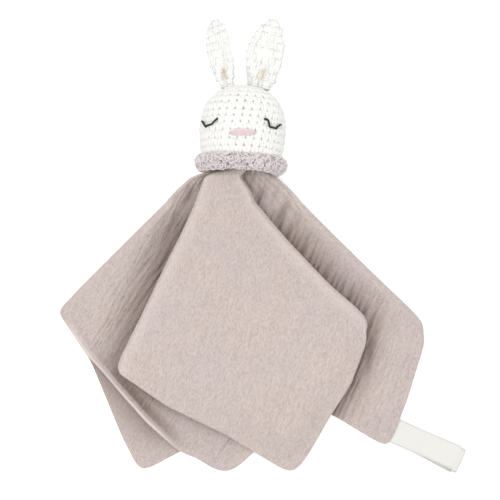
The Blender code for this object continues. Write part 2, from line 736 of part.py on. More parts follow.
def make_tag(material, thread_material):
    """A loop of tape at the hem, hinged along the seam that holds its ends."""
    fold, shoulder = [end for line, end in with_rounded_corners(RIGHT_SHARES)[:2]]
    along_hem = (fold - shoulder).normalized()
    outside = Vector((along_hem.y, -along_hem.x, 0.0))
    off_hem = TAG_SEAM_RADIUS + TOUCH_GAP + TAG_WIDTH / 2 * abs(math.sin(math.radians(TAG_TURN_DEGREES)))
    place = shoulder + along_hem * (TAG_WIDTH / 2) + outside * off_hem
    place.z = TAG_TAPE
    hem_angle = math.atan2(outside.y, outside.x)
    turn = Matrix.Rotation(hem_angle + math.radians(TAG_TURN_DEGREES), 4, "Z")
    pivot = pivot_empty("tag_pivot", place, turn)
    curve = bpy.data.curves.new("tag_loop", "CURVE")
    curve.dimensions = "2D"
    curve.fill_mode = "BOTH"
    curve.extrude = TAG_WIDTH / 2
    for inset in (0.0, TAG_TAPE):
        outline = tag_outline(inset)
        spline = curve.splines.new("POLY")
        spline.points.add(len(outline) - 1)
        for slot, (along, height) in zip(spline.points, outline):
            slot.co = (along, height - TAG_TAPE, 0.0, 1.0)
        spline.use_cyclic_u = True
    loop = bpy.data.objects.new("tag_loop", curve)
    bpy.context.scene.collection.objects.link(loop)
    finish(loop, material, pivot)
    loop.rotation_euler = (math.radians(90.0), 0.0, 0.0)
    half = TAG_WIDTH / 2
    tube_object("tag_seam", [(0.0, -half, 0.0), (0.0, 0.0, 0.0), (0.0, half, 0.0)],
                TAG_SEAM_RADIUS, thread_material, pivot)
    return pivot


def show_axis(name, pivot, direction):
    """Print a joint's place and axis, for the record."""
    place = pivot.matrix_world.translation
    axis = (pivot.matrix_world.to_3x3() @ Vector(direction)).normalized()
    print("joint", name, [round(value, 6) for value in place], [round(value, 9) for value in axis])


def main():
    clear_scene()
    collection = bpy.data.collections.new(COLLECTION_NAME)
    bpy.context.scene.collection.children.link(collection)
    collection.name = COLLECTION_NAME

    face = make_material("muslin_face", (0.65, 0.56, 0.52), 0.95)
    lining = make_material("muslin_lining", (0.63, 0.54, 0.51), 0.95)
    cream = make_material("cream_cotton", (0.91, 0.91, 0.89), 0.9)
    lilac = make_material("lilac_wool", (0.66, 0.58, 0.60), 0.95)
    wool = make_material("filling", (0.90, 0.89, 0.86), 1.0)
    grey = make_material("grey_thread", (0.05, 0.05, 0.05), 0.7)
    pink = make_material("pink_thread", (0.86, 0.48, 0.60), 0.6)
    thread = make_material("sewing_thread", (0.80, 0.78, 0.75), 0.8)
    tape = make_material("cotton_tape", (0.88, 0.87, 0.83), 0.85)

    make_cloth(face, lining)
    turn = Matrix.Rotation(math.radians(HEAD_LEAN_DEGREES), 4, "Z")
    turn = turn @ Matrix.Rotation(math.radians(HEAD_PITCH_DEGREES), 4, "X")
    neck = pivot_empty("neck_pivot", NECK_POINT, turn)
    bpy.context.view_layer.update()
    make_neck(face, thread, neck)
    make_head(cream, wool, neck)
    make_collar(lilac, thread, neck)
    make_eye("left_eye", LEFT_EYE_SHARES, grey, neck)
    make_eye("right_eye", RIGHT_EYE_SHARES, grey, neck)
    make_nose(pink, neck)
    left = make_ear("left_ear", -LEFT_EAR_OFFSET, LEFT_EAR_WIDTH, LEFT_EAR_TILT_DEGREES,
                    LEFT_EAR_TWIST_DEGREES, cream, thread, neck)
    right = make_ear("right_ear", RIGHT_EAR_OFFSET, RIGHT_EAR_WIDTH, RIGHT_EAR_TILT_DEGREES,
                     RIGHT_EAR_TWIST_DEGREES, cream, thread, neck)
    tag = make_tag(tape, thread)
    bpy.context.view_layer.update()
    show_axis("neck_nod", neck, (1, 0, 0))
    show_axis("neck_tilt", neck, (0, 0, 1))
    show_axis("neck_turn", neck, (0, 1, 0))
    show_axis("left_ear_flop", left, (1, 0, 0))
    show_axis("right_ear_flop", right, (1, 0, 0))
    show_axis("tag_flap", tag, (0, -1, 0))


main()
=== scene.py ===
import json
import math

import bmesh
import bpy
import numpy as np
from mathutils import Matrix, Vector


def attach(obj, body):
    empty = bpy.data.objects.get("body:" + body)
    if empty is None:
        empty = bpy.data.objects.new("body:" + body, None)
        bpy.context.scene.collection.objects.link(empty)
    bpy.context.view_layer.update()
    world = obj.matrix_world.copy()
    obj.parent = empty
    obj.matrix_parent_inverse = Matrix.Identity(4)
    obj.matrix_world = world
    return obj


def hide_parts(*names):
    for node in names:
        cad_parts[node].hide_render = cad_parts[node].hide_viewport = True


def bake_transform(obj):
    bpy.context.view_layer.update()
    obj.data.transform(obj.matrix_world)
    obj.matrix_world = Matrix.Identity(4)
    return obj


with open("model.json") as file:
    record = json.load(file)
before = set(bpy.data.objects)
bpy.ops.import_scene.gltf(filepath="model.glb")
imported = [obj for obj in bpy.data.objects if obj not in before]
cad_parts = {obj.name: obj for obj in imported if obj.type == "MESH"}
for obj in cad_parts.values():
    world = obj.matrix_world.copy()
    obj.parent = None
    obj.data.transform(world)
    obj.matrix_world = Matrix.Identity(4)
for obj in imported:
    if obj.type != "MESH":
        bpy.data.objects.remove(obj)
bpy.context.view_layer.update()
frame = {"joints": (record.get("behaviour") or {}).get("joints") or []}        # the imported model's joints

joints = {joint["name"]: joint for joint in frame["joints"]}


# Small helpers

def newObject(name, data):
    item = bpy.data.objects.new(name, data)
    bpy.context.scene.collection.objects.link(item)
    return item


def smoothFaces(mesh):
    mesh.polygons.foreach_set("use_smooth", [True] * len(mesh.polygons))


def meshPiece(name, points, faces, material=None, flat=None, uvName="yarn"):
    # a smooth mesh piece; flat gives a UV pair for each point
    mesh = bpy.data.meshes.new(name)
    mesh.from_pydata([tuple(p) for p in points], [], [tuple(f) for f in faces])
    mesh.update()
    smoothFaces(mesh)
    if flat is not None:
        layer = mesh.uv_layers.new(name=uvName)
        loops = np.zeros(len(mesh.loops), np.int32)
        mesh.loops.foreach_get("vertex_index", loops)
        layer.data.foreach_set("uv", np.asarray(flat, np.float32)[loops].ravel())
    if material:
        mesh.materials.append(material)
    return newObject(name, mesh)


def readPoints(mesh):
    flat = np.zeros(len(mesh.vertices) * 3, np.float32)
    mesh.vertices.foreach_get("co", flat)
    return flat.reshape(-1, 3).astype(float)


def setValues(mesh, name, values, kind="FLOAT"):
    # stores a value or a vector on each point, for the trees and materials to read
    layer = mesh.attributes.new(name, kind, "POINT")
    layer.data.foreach_set("value" if kind == "FLOAT" else "vector",
                           np.ascontiguousarray(values, np.float32).ravel())


def baked(item):
    # the plain mesh that an object with modifiers comes out as
    bpy.context.view_layer.update()
    shape = item.evaluated_get(bpy.context.evaluated_depsgraph_get())
    mesh = bpy.data.meshes.new_from_object(shape)
    item.modifiers.clear()
    return mesh


def smoothStep(value):
    value = np.clip(value, 0.0, 1.0)
    return value * value * (3.0 - 2.0 * value)


def lengthAlong(points):
    # how far along its path each point lies
    steps = np.linalg.norm(np.diff(points, axis=0), axis=-1)
    return np.concatenate([np.zeros((1, *steps.shape[1:])), np.cumsum(steps, 0)])


def normalized(rows):
    # directions of length one, for one vector or for rows of them
    return rows / (np.linalg.norm(rows) if rows.ndim == 1 else np.linalg.norm(rows, axis=1)[:, None])


def apart(points, others):
    # how far each point of a grid is from the one that it's compared with
    return np.linalg.norm(points - others, axis=-1)


def bell(values):
    # 1 at zero, and softly down to nothing on both sides
    return np.exp(-values ** 2)


def sampled(at, known, table):
    # the columns of a table, read at other places along it
    return np.stack([np.interp(at, known, table[:, k]) for k in range(table.shape[1])], -1)


def lengthRound(loop):
    # how far round a closed loop each point lies, and the whole way round
    steps = apart(np.roll(loop, -1, 0), loop)
    return np.concatenate([[0.0], np.cumsum(steps)])[:-1], steps.sum()


def ringFaces(rows, count, closed=False):
    # the faces between rows that are rings of this many points
    row, slot = np.indices((rows if closed else rows - 1, count)).reshape(2, -1)
    here, above, after = row * count, (row + 1) % rows * count, (slot + 1) % count
    return np.stack([here + slot, here + after, above + after, above + slot], 1)


def cappedFaces(rows, count):
    # the same with a point beyond each end: the last ring's, then the first's
    last, tip = (rows - 1) * count, rows * count
    ring = [(slot, (slot + 1) % count) for slot in range(count)]
    return [*ringFaces(rows, count).tolist(), *((last + slot, last + after, tip) for slot, after in ring),
            *((after, slot, tip + 1) for slot, after in ring)]


# Node trees

def newNode(tree, kind, **settings):
    node = tree.nodes.new(kind)
    for key, value in settings.items():
        setattr(node, key, value)
    return node


def feed(tree, socket, value):
    # links another node's output to an input, or sets the input to a fixed value
    if isinstance(value, bpy.types.NodeSocket):
        tree.links.new(value, socket)
    elif socket.type == "RGBA":
        socket.default_value = (*value, 1.0)
    else:
        socket.default_value = value


def wire(tree, *pairs):
    for source, socket in pairs:
        tree.links.new(source, socket)


def mathNode(tree, operation, *values):
    node = newNode(tree, "ShaderNodeMath", operation=operation)
    for slot, value in enumerate(values):
        feed(tree, node.inputs[slot], value)
    return node.outputs[0]


def maths(operation):
    return lambda tree, first, second: mathNode(tree, operation, first, second)


plus, minus, times, divided, atLeast, atMost = (maths(operation) for operation in (
    "ADD", "SUBTRACT", "MULTIPLY", "DIVIDE", "MAXIMUM", "MINIMUM"))


def withinOne(tree, value):
    return atMost(tree, atLeast(tree, value, 0.0), 1.0)


def vectorNode(tree, operation, first, second=None, scale=None):
    node = newNode(tree, "ShaderNodeVectorMath", operation=operation)
    feed(tree, node.inputs[0], first)
    if second is not None:
        feed(tree, node.inputs[1], second)
    if scale is not None:
        feed(tree, node.inputs["Scale"], scale)
    return node.outputs[0]


def mixColours(tree, factor, first, second):
    node = newNode(tree, "ShaderNodeMix", data_type="RGBA")
    for slot, value in ((0, factor), (6, first), (7, second)):
        feed(tree, node.inputs[slot], value)
    return node.outputs[2]


def noiseNode(tree, vector, scale, detail, roughness, distortion=0.0):
    node = newNode(tree, "ShaderNodeTexNoise", noise_dimensions="3D")
    for key, value in {"Vector": vector, "Scale": scale, "Detail": detail, "Roughness": roughness,
                       "Distortion": distortion}.items():
        feed(tree, node.inputs[key], value)
    return node.outputs["Fac"]


def splitVector(tree, vector):
    node = tree.nodes.new("ShaderNodeSeparateXYZ")
    tree.links.new(vector, node.inputs[0])
    return node.outputs


def joinVector(tree, *values):
    node = tree.nodes.new("ShaderNodeCombineXYZ")
    for slot, value in enumerate(values):
        feed(tree, node.inputs[slot], value)
    return node.outputs[0]


def turnedBack(tree, place, turn):
    # places turned back about the vertical, so that a slanted pattern runs straight
    node = newNode(tree, "ShaderNodeVectorRotate", rotation_type="Z_AXIS")
    feed(tree, node.inputs["Vector"], place)
    feed(tree, node.inputs["Angle"], times(tree, turn, -1.0))
    return node.outputs[0]


def objectPlace(tree):
    return tree.nodes.new("ShaderNodeTexCoord").outputs["Object"]


def ownValue(tree, name):
    return newNode(tree, "ShaderNodeAttribute", attribute_name=name).outputs["Fac"]


def ownUv(tree, name):
    return newNode(tree, "ShaderNodeUVMap", uv_map=name).outputs[0]


def newTree(name, kind, inputs, outputs):
    # a node tree with named sockets, each with its kind
    tree = bpy.data.node_groups.new(name, kind)
    for side, sockets in (("INPUT", inputs), ("OUTPUT", outputs)):
        for label, socketKind in sockets.items():
            tree.interface.new_socket(label, in_out=side, socket_type="NodeSocket" + socketKind)
    return tree, tree.nodes.new("NodeGroupInput").outputs, tree.nodes.new("NodeGroupOutput").inputs


groupLook = {
    "mottleDetail": 1.5,
    "mottleRoughness": 0.5,
    "mottleGain": 3.0,
    "threadScale": 900.0,     # how finely the threads of a weave wander
    "gapPower": 0.35,
    "streakRoughness": 0.55,
    "streakDistortion": 0.2,
    "streakGain": 4.0,
}


def makeMottleGroup():
    # soft patches of two tints, as dyed cotton has
    tree, start, end = newTree("mottle", "ShaderNodeTree", {
        "Vector": "Vector", "Base": "Color", "Warm": "Color", "Cool": "Color", "Size": "Float",
        "Amount": "Float"}, {"Color": "Color"})
    broad = noiseNode(tree, start["Vector"], divided(tree, 1.0, start["Size"]),
                      groupLook["mottleDetail"], groupLook["mottleRoughness"])
    colour = start["Base"]
    for label, field in (("Warm", minus(tree, broad, 0.5)), ("Cool", minus(tree, 0.5, broad))):
        amount = atLeast(tree, times(tree, field, groupLook["mottleGain"]), 0.0)
        amount = times(tree, amount, start["Amount"])
        colour = mixColours(tree, amount, colour, start[label])
    tree.links.new(colour, end["Color"])
    return tree


def makeWeaveGroup():
    # a plain weave: threads that pass over and under one another
    tree, start, end = newTree("plainWeave", "ShaderNodeTree", {
        "Vector": "Vector", "Pitch": "Float", "Unevenness": "Float"},
        {"Height": "Float", "Gap": "Float"})
    wander = minus(tree, noiseNode(tree, start["Vector"], groupLook["threadScale"], 2.0, 0.5), 0.5)
    wander = times(tree, wander, start["Unevenness"])
    parts = splitVector(tree, vectorNode(tree, "SCALE", start["Vector"],
                                         scale=divided(tree, math.pi, start["Pitch"])))
    along, across = (mathNode(tree, "SINE", plus(tree, parts[slot], wander)) for slot in (0, 1))
    height = mathNode(tree, "ABSOLUTE", times(tree, along, across))
    tree.links.new(height, end["Height"])
    tree.links.new(minus(tree, 1.0, mathNode(tree, "POWER", height, groupLook["gapPower"])), end["Gap"])
    return tree


def makeStreakGroup():
    # long soft ridges that run one way
    tree, start, end = newTree("streaks", "ShaderNodeTree", {
        "Vector": "Vector", "Width": "Float", "Length": "Float", "Sharpness": "Float"},
        {"Height": "Float"})
    parts = splitVector(tree, start["Vector"])
    spread = joinVector(tree, *(divided(tree, parts[slot], start[size])
                                for slot, size in enumerate(("Width", "Length", "Length"))))
    field = minus(tree, noiseNode(tree, spread, 1.0, 3.0, groupLook["streakRoughness"],
                                  groupLook["streakDistortion"]), 0.5)
    height = times(tree, mathNode(tree, "ABSOLUTE", field), groupLook["streakGain"])
    tree.links.new(mathNode(tree, "POWER", height, start["Sharpness"]), end["Height"])
    return tree


groups = {"mottle": makeMottleGroup(), "weave": makeWeaveGroup(), "streaks": makeStreakGroup()}


def placeGroup(tree, name, vector, **values):
    node = newNode(tree, "ShaderNodeGroup", node_tree=groups[name])
    for key, value in {"Vector": vector, **values}.items():
        feed(tree, node.inputs[key], value)
    return node.outputs


def startMaterial(name, roughness, sheen=0.0, specular=0.25):
    material = bpy.data.materials.new(name)
    material.use_nodes = True
    shader = material.node_tree.nodes["Principled BSDF"]
    for key, value in {"Roughness": roughness, "Specular IOR Level": specular, "Sheen Weight": sheen,
                       "Sheen Roughness": 0.6}.items():
        shader.inputs[key].default_value = value
    return material, material.node_tree, shader


def bumpChain(tree, shader, layers):
    # several heights, each with its own depth in metres, one after the other
    normal = None
    for height, depth in layers:
        bump = tree.nodes.new("ShaderNodeBump")
        bump.inputs["Distance"].default_value = depth
        tree.links.new(height, bump.inputs["Height"])
        if normal is not None:
            tree.links.new(normal, bump.inputs["Normal"])
        normal = bump.outputs[0]
    tree.links.new(normal, shader.inputs["Normal"])


# The ridges of crinkled gauze, as sizes in metres on the cloth
crinkleSizes = ("width", "length", "layer", "seed", "depth", "swellSize", "swellDepth")
crinkle = {
    "width": 0.0043,
    "length": 0.020,
    "depth": 0.00125,
    "layer": 0.030,        # how fast the pattern changes from layer to layer
    "swellSize": 0.045,
    "swellDepth": 0.0011,
    "seed": 3.0,
    "seedStep": (7.3, 3.1, 5.7),
    "wanderScale": 0.32,
    "wander": 14.0,
    "roundness": 0.03,     # how soft a furrow's bottom is
    "level": 0.66,
    "patchStretch": (1.0, 0.45, 1.0),
    "patchFrom": 0.28,
    "patchGain": 2.8,
    "patchLeast": 0.15,
    "flatRise": 160.0,        # how soon the swells set in above the floor
    "swellGain": 3.0,
}


def ridgeField(tree, place, turn, width, length, layer, seed):
    # ridges side by side that run one way and wander, and that swell and fade
    # along their length: below zero is a furrow
    parts = splitVector(tree, turnedBack(tree, place, turn))
    spread = joinVector(tree, *(divided(tree, parts[slot], size)
                                for slot, size in enumerate((length, width, layer))))
    moved = vectorNode(tree, "ADD", spread, vectorNode(tree, "SCALE", crinkle["seedStep"], scale=seed))
    wander = vectorNode(tree, "SCALE", moved, scale=crinkle["wanderScale"])
    wander = noiseNode(tree, wander, 1.0, 2.0, 0.5)
    wave = mathNode(tree, "SINE", plus(tree, times(tree, divided(tree, parts[1], width), math.pi),
                                       times(tree, wander, crinkle["wander"])))
    folded = mathNode(tree, "SQRT", plus(tree, times(tree, wave, wave), crinkle["roundness"]))
    patch = noiseNode(tree, vectorNode(tree, "MULTIPLY", moved, crinkle["patchStretch"]), 1.0, 1.0, 0.5)
    patch = times(tree, minus(tree, patch, crinkle["patchFrom"]), crinkle["patchGain"])
    patch = atLeast(tree, patch, crinkle["patchLeast"])
    return times(tree, minus(tree, folded, crinkle["level"]), patch)


# The cloth

gauzeLook = {
    "colour": (0.655, 0.557, 0.520),
    "liningColour": (0.645, 0.549, 0.513),
    "warm": (0.700, 0.588, 0.518),
    "cool": (0.640, 0.552, 0.556),
    "patch": 0.028,
    "patchAmount": 0.8,
    "gapShade": 0.22,         # the gaps of the weave, and how dark they are
    "gapDark": 0.6,
    "speckLevel": 0.585,      # the fine grain, and how dark its specks are
    "speckAmount": 2.2,
    "speckDark": 0.62,
    # the low lines of the streaks are darkened with the specks: painted shade in their troughs
    "lineLevel": 0.55,
    "lineAmount": 0.35,
    # painted shade: the dark colour of the hollows beside the front panel, behind and below the lip and in
    # the puckers, and how strongly it is mixed in
    "paintedShade": (0.175, 0.112, 0.098),
    "paintedShadeAmount": 0.95,
    # painted shade in the crinkle's furrows, stronger in the painted shade of the hollows
    "furrow": (0.40, 0.31, 0.275),
    "furrowGain": -2.4,
    "furrowLevel": 0.45,
    "furrowAmount": 0.62,
    "furrowMost": 0.85,
    # painted highlight on the lip's rolled edge and along the front panel's folds
    "rimLight": (0.80, 0.71, 0.665),
    "streakWidth": 0.0030,
    "streakLength": 0.013,
    "grainWidth": 0.0008,
    "grainLength": 0.0022,
    "weavePitch": 0.00052,
    "unevenness": 0.8,
    "sharpness": 0.8,
    "depths": (0.0007, 0.0005, 0.00028, 0.00006),     # of ridges, streaks, grain and weave
}


def makeGauze(name, colour):
    look = gauzeLook
    material, tree, shader = startMaterial(name, 0.95, sheen=0.25, specular=0.15)
    place = objectPlace(tree)
    turn, strength, paintedShade, rimLight = (ownValue(tree, key) for key in ("streakTurn", "crinkle", "paintedShade", "rimLight"))
    parts = splitVector(tree, turnedBack(tree, place, turn))
    turned = joinVector(tree, parts[1], parts[0], parts[2])
    weave = placeGroup(tree, "weave", ownUv(tree, "cloth"), Pitch=look["weavePitch"],
                       Unevenness=look["unevenness"])
    streaks = placeGroup(tree, "streaks", turned, Width=look["streakWidth"], Length=look["streakLength"],
                         Sharpness=look["sharpness"])["Height"]
    sizes = (crinkle[key] for key in crinkleSizes[:4])
    fold = times(tree, ridgeField(tree, place, turn, *sizes), strength)
    grainScale = (1.0 / look["grainWidth"], 1.0 / look["grainLength"], 1.0 / look["grainLength"])
    grain = noiseNode(tree, vectorNode(tree, "MULTIPLY", turned, grainScale), 1.0, 3.0, 0.6)
    tinted = placeGroup(tree, "mottle", place, Base=colour, Warm=look["warm"], Cool=look["cool"],
                        Size=look["patch"], Amount=look["patchAmount"])["Color"]
    specks = times(tree, minus(tree, look["speckLevel"], grain), look["speckAmount"])
    # painted shade along the streaks' low lines
    lines = times(tree, minus(tree, look["lineLevel"], streaks), look["lineAmount"])
    specks = atLeast(tree, plus(tree, specks, atLeast(tree, lines, 0.0)), 0.0)
    # the furrows darkened as painted shade, more so where the hollows are painted dark
    furrow = times(tree, atLeast(tree, times(tree, fold, look["furrowGain"]), 0.0),
                   times(tree, plus(tree, paintedShade, look["furrowLevel"]), look["furrowAmount"]))
    gapTint, speckTint = (tuple(part * look[key] for part in colour) for key in ("gapDark", "speckDark"))
    # weave gaps and specks are the cloth's own; then painted shade in the hollows and furrows, and a
    # painted highlight on the rims
    for amount, tint in ((times(tree, weave["Gap"], look["gapShade"]), gapTint), (specks, speckTint),
                         (times(tree, paintedShade, look["paintedShadeAmount"]), look["paintedShade"]),
                         (atMost(tree, furrow, look["furrowMost"]), look["furrow"]),
                         (rimLight, look["rimLight"])):
        tinted = mixColours(tree, amount, tinted, tint)
    tree.links.new(tinted, shader.inputs["Base Color"])
    heights = fold, times(tree, streaks, strength), grain, weave["Height"]
    bumpChain(tree, shader, zip(heights, look["depths"]))
    return material


# Each panel of the fan: the way its last fold bulges, and its key lines from the
# neck to the hem. A line has its angle from straight down, its reach as a share
# of half the cloth's diagonal, its start as a share across the neck, its layer at
# the neck, lying and at the hem, and 1 at a corner
cloth = {
    "side": 0.300,
    "cornerRadius": 0.008,
    "layerPitch": 0.0027,
    "startDrop": 0.018,
    "startHeight": 0.0160,
    "startPitch": 0.0037,
    "startHalfWidth": 0.0440,
    "landDistance": 0.100,
    "landHeight": 0.0010,
    "fanRise": 0.007,
    "overhangShare": 0.87,
    "halfThickness": 0.00070,
    "hemThickness": 0.00105,
    "hemWidth": 0.006,
    "columnSpacing": 0.0016,
    "bodyRows": 98,
    "hemRows": 9,
    "hemRowsLength": 0.0050,
    "neckRows": 18,
    "foldSteps": 7,
    "hemRowsPower": 1.6,
    "overhangEase": 0.04,
    "bowPower": 1.5,
    "bowBlur": 0.04,
    "edgeBlur": 2.0,          # in rows
    "leastTurn": 0.02,
    "crinkledBlur": 3.0,      # in columns
    "turnBlur": 0.7,
    "hemFine": 0.0005,
    "hemBlur": 0.0028,
    "layerBlur": 0.009,
    "tipColumns": 8,          # the columns and rows that tell how a fold's tip lies
    "tipRows": 30,
    "joinReach": 0.020,
    "foldReach": 0.016,
    "foldCalm": 0.25,
    "calmReach": 0.010,
    # a painted highlight along the front panel's fold edges, and how far it reaches
    "foldRimLight": 0.30,
    "rimReach": 0.012,
    "ridgeIn": 0.0025,        # the hem's ridge, and where it fades
    "ridgeOut": 0.0022,
    "middleGap": 0.012,
    "hemQuiet": 0.30,
    "quietReach": 0.009,
    "deepCrinkle": (0.60, 0.75),
    # the shared folds: the upper panel and its edge, then the lower one and its edge
    "joined": [(0, -1, 1, 0), (2, -1, 3, 0), (4, 0, 3, -1), (0, 0, 5, -1)],
    # for each panel: how strongly it is crinkled, and the turn of its streaks
    "crinkled": (0.20, 0.7, 0.85, 0.5, 0.85, 0.7),
    "streakTurns": (73.0, 66.0, 58.0, 62.0, 67.0, 68.0),
    "panels": [
        ("front", -1, [
            (37.9, 0.667, 0.21, 5.2, 5.8, 5.0, 0), (26.8, 0.777, 0.08, 5.4, 5.6, 3.4, 0),
            (18.7, 0.859, 0.00, 5.5, 5.4, 2.5, 0), (16.1, 0.899, -0.03, 5.5, 5.4, 1.9, 0),
            (13.6, 0.941, -0.07, 5.5, 5.4, 1.1, 0), (9.6, 0.994, -0.12, 5.6, 5.4, 0.2, 1),
            (4.0, 0.928, -0.20, 5.6, 5.4, 2.7, 0), (-3.0, 0.858, -0.30, 5.6, 5.4, 4.1, 0),
            (-17.0, 0.799, -0.48, 5.4, 5.5, 4.3, 0), (-30.8, 0.762, -0.67, 5.0, 5.5, 4.8, 0)]),
        ("left tuck", 1, [
            (-30.8, 0.762, -0.67, 3.9, 4.0, 3.5, 0), (-14.0, 0.760, -0.48, 4.3, 4.2, 3.7, 0),
            (-0.5, 0.797, -0.26, 4.5, 4.4, 3.9, 0), (7.9, 0.848, -0.10, 4.6, 4.2, 3.9, 0)]),
        ("left", -1, [
            (7.9, 0.848, -0.10, 3.6, 3.0, 2.9, 0), (0.5, 0.947, -0.26, 3.4, 2.9, 1.4, 0),
            (-3.0, 0.981, -0.36, 3.3, 2.1, 0.2, 1), (-8.6, 0.944, -0.46, 3.2, 1.6, 0.9, 0),
            (-12.3, 0.932, -0.52, 3.1, 1.3, 1.3, 0), (-20.0, 0.873, -0.64, 3.0, 1.0, 1.9, 0),
            (-28.4, 0.819, -0.78, 2.9, 1.0, 2.1, 0), (-38.5, 0.777, -0.94, 2.7, 1.7, 2.3, 0),
            (-51.5, 0.747, -1.12, 2.4, 2.5, 2.3, 0)]),
        ("back", 1, [
            (-51.5, 0.747, -1.12, 0.9, 0.0, 0.0, 0), (-37.4, 0.790, -0.80, 0.5, 0.0, 0.0, 0),
            (-32.5, 0.834, -0.66, 0.3, 0.0, 0.0, 0), (-23.8, 0.945, -0.46, 0.1, 0.0, 0.0, 0),
            (-18.0, 1.025, -0.32, 0.0, 0.0, 0.0, 1),
            (2.0, 0.800, 0.02, 0.0, 0.0, 0.0, 0), (26.0, 0.738, 0.45, 0.2, 0.0, 0.0, 0),
            (48.3, 0.802, 0.90, 0.8, 0.0, 0.0, 0)]),
        ("right", -1, [
            (48.3, 0.804, 0.90, 2.2, 2.3, 2.1, 0), (35.9, 0.916, 0.68, 2.4, 1.8, 1.2, 0),
            (27.7, 1.013, 0.50, 2.5, 1.1, 0.2, 1),
            (20.3, 0.851, 0.28, 2.0, 1.0, 0.4, 0), (14.5, 0.790, 0.14, 1.6, 1.0, 0.6, 0),
            (1.65, 0.748, -0.18, 1.1, 1.0, 0.9, 0)]),
        ("right tuck", 1, [
            (1.65, 0.748, -0.18, 2.2, 2.2, 2.0, 0), (20.0, 0.664, 0.06, 2.9, 3.4, 2.9, 0),
            (37.9, 0.667, 0.21, 3.9, 4.3, 3.7, 0)]),
    ],
}
neckPoint = Vector(joints["neck_nod"]["pos_m"])
fanCentre = np.array([neckPoint.x, neckPoint.y + cloth["fanRise"]])
halfDiagonal = cloth["side"] / math.sqrt(2)


def lineValues(line):
    # the place where a key line ends, with its start share and its layers
    turn = math.radians(line[0])
    end = fanCentre + np.array([math.sin(turn), -math.cos(turn)]) * line[1] * halfDiagonal
    return np.array([*end, *line[2:6]])


def smoothed(values, spacing, width):
    # a Gaussian blur along a row of values that keeps its two ends
    reach = max(1, int(3 * width / spacing))
    steps = np.arange(-reach, reach + 1) * spacing
    kernel = np.exp(-(steps / width) ** 2 / 2)
    kernel /= kernel.sum()
    before = 2 * values[0] - values[reach:0:-1]
    after = 2 * values[-1] - values[-2:-reach - 2:-1]
    padded = np.concatenate([before, values, after])
    return np.stack([np.convolve(padded[:, k], kernel, "valid") for k in range(values.shape[1])], 1)


def panelHem(lines):
    # the hem of one panel as evenly spaced columns of place, start share and layers
    ends = [lineValues(line) for line in lines]
    knots = []
    for index, values in enumerate(ends):
        if not lines[index][6]:
            knots.append(values)
            continue
        # a rounded corner has a shoulder on each side
        outward = normalized(values[:2] - fanCentre)
        shoulders = []
        for other in (ends[index - 1], ends[index + 1]):
            share = cloth["cornerRadius"] / np.linalg.norm(other[:2] - values[:2])
            shoulder = values + (other - values) * share
            shoulder[:2] += outward * cloth["cornerRadius"] * (math.sqrt(2) - 1) / 2
            shoulders.append(shoulder)
        knots += [shoulders[0], values, shoulders[1]]
    knots = np.array(knots)
    at = lengthAlong(knots[:, :2])
    dense = sampled(np.arange(0.0, at[-1], cloth["hemFine"]), at, knots)
    dense = np.concatenate([smoothed(dense[:, :2], cloth["hemFine"], cloth["hemBlur"]),
                            smoothed(dense[:, 2:], cloth["hemFine"], cloth["layerBlur"])], 1)
    count = max(4, int(round(at[-1] / cloth["columnSpacing"])))
    return sampled(np.linspace(0, len(dense) - 1, count + 1), np.arange(len(dense)), dense)


# The fold after each panel, where it shows: how it bows sideways on its way down,
# as shares of the way and metres to the right as one looks at the picture, and
# the length that is rounded off where it meets the hem
folds = [
    {"round": 0.0045, "bow": [(0.0, 0.0), (0.18, -0.0002), (0.32, -0.0012), (0.48, -0.0016),
                              (0.70, -0.0021), (0.95, -0.0032), (1.0, -0.0008)]},
    None,
    {"round": 0.005, "bow": [(0.0, 0.0), (0.4, -0.0010), (0.8, -0.0012), (1.0, 0.0)]},
    {"round": 0.0115, "bow": [(0.0, 0.0), (0.35, 0.0015), (0.6, 0.0026), (0.82, 0.0040), (0.94, 0.0030),
                              (1.0, -0.0010)]},
    None,
    {"round": 0.013, "bow": [(0.0, 0.0), (0.3, -0.0010), (0.65, 0.0010), (0.84, 0.0056), (0.95, 0.0048),
                             (1.0, 0.0004)]},
]


def bowAt(fold, shares):
    if fold is None:
        return np.zeros_like(shares)
    fine = np.linspace(0.0, 1.0, 201)
    curve = smoothed(np.interp(fine, *zip(*fold["bow"]))[:, None], fine[1], cloth["bowBlur"])[:, 0]
    return np.interp(shares, fine, curve)


def roundTip(plan, atStart, length):
    # rounds the corner that a panel's fold edge makes with its hem
    edge = 0 if atStart else -1
    inner = cloth["tipColumns"] if atStart else -1 - cloth["tipColumns"]
    tip = plan[-1, edge].copy()
    along = normalized(plan[-cloth["tipRows"], edge] - tip)
    hem = normalized(plan[-1, inner] - tip)
    half = math.acos(float(np.clip(along @ hem, -1, 1))) / 2
    radius = length * math.tan(half)
    bisector = normalized(along + hem)
    centre = tip + bisector * radius / math.sin(half)
    arm = plan - centre
    reach = np.maximum(np.linalg.norm(arm, axis=2), 1e-9)
    aside = np.arccos(np.clip((arm @ -bisector) / reach, -1.0, 1.0))
    spread = np.maximum(0.0, math.pi / 2 - half - aside)
    plan[:] = centre + arm * np.cos(spread)[:, :, None]


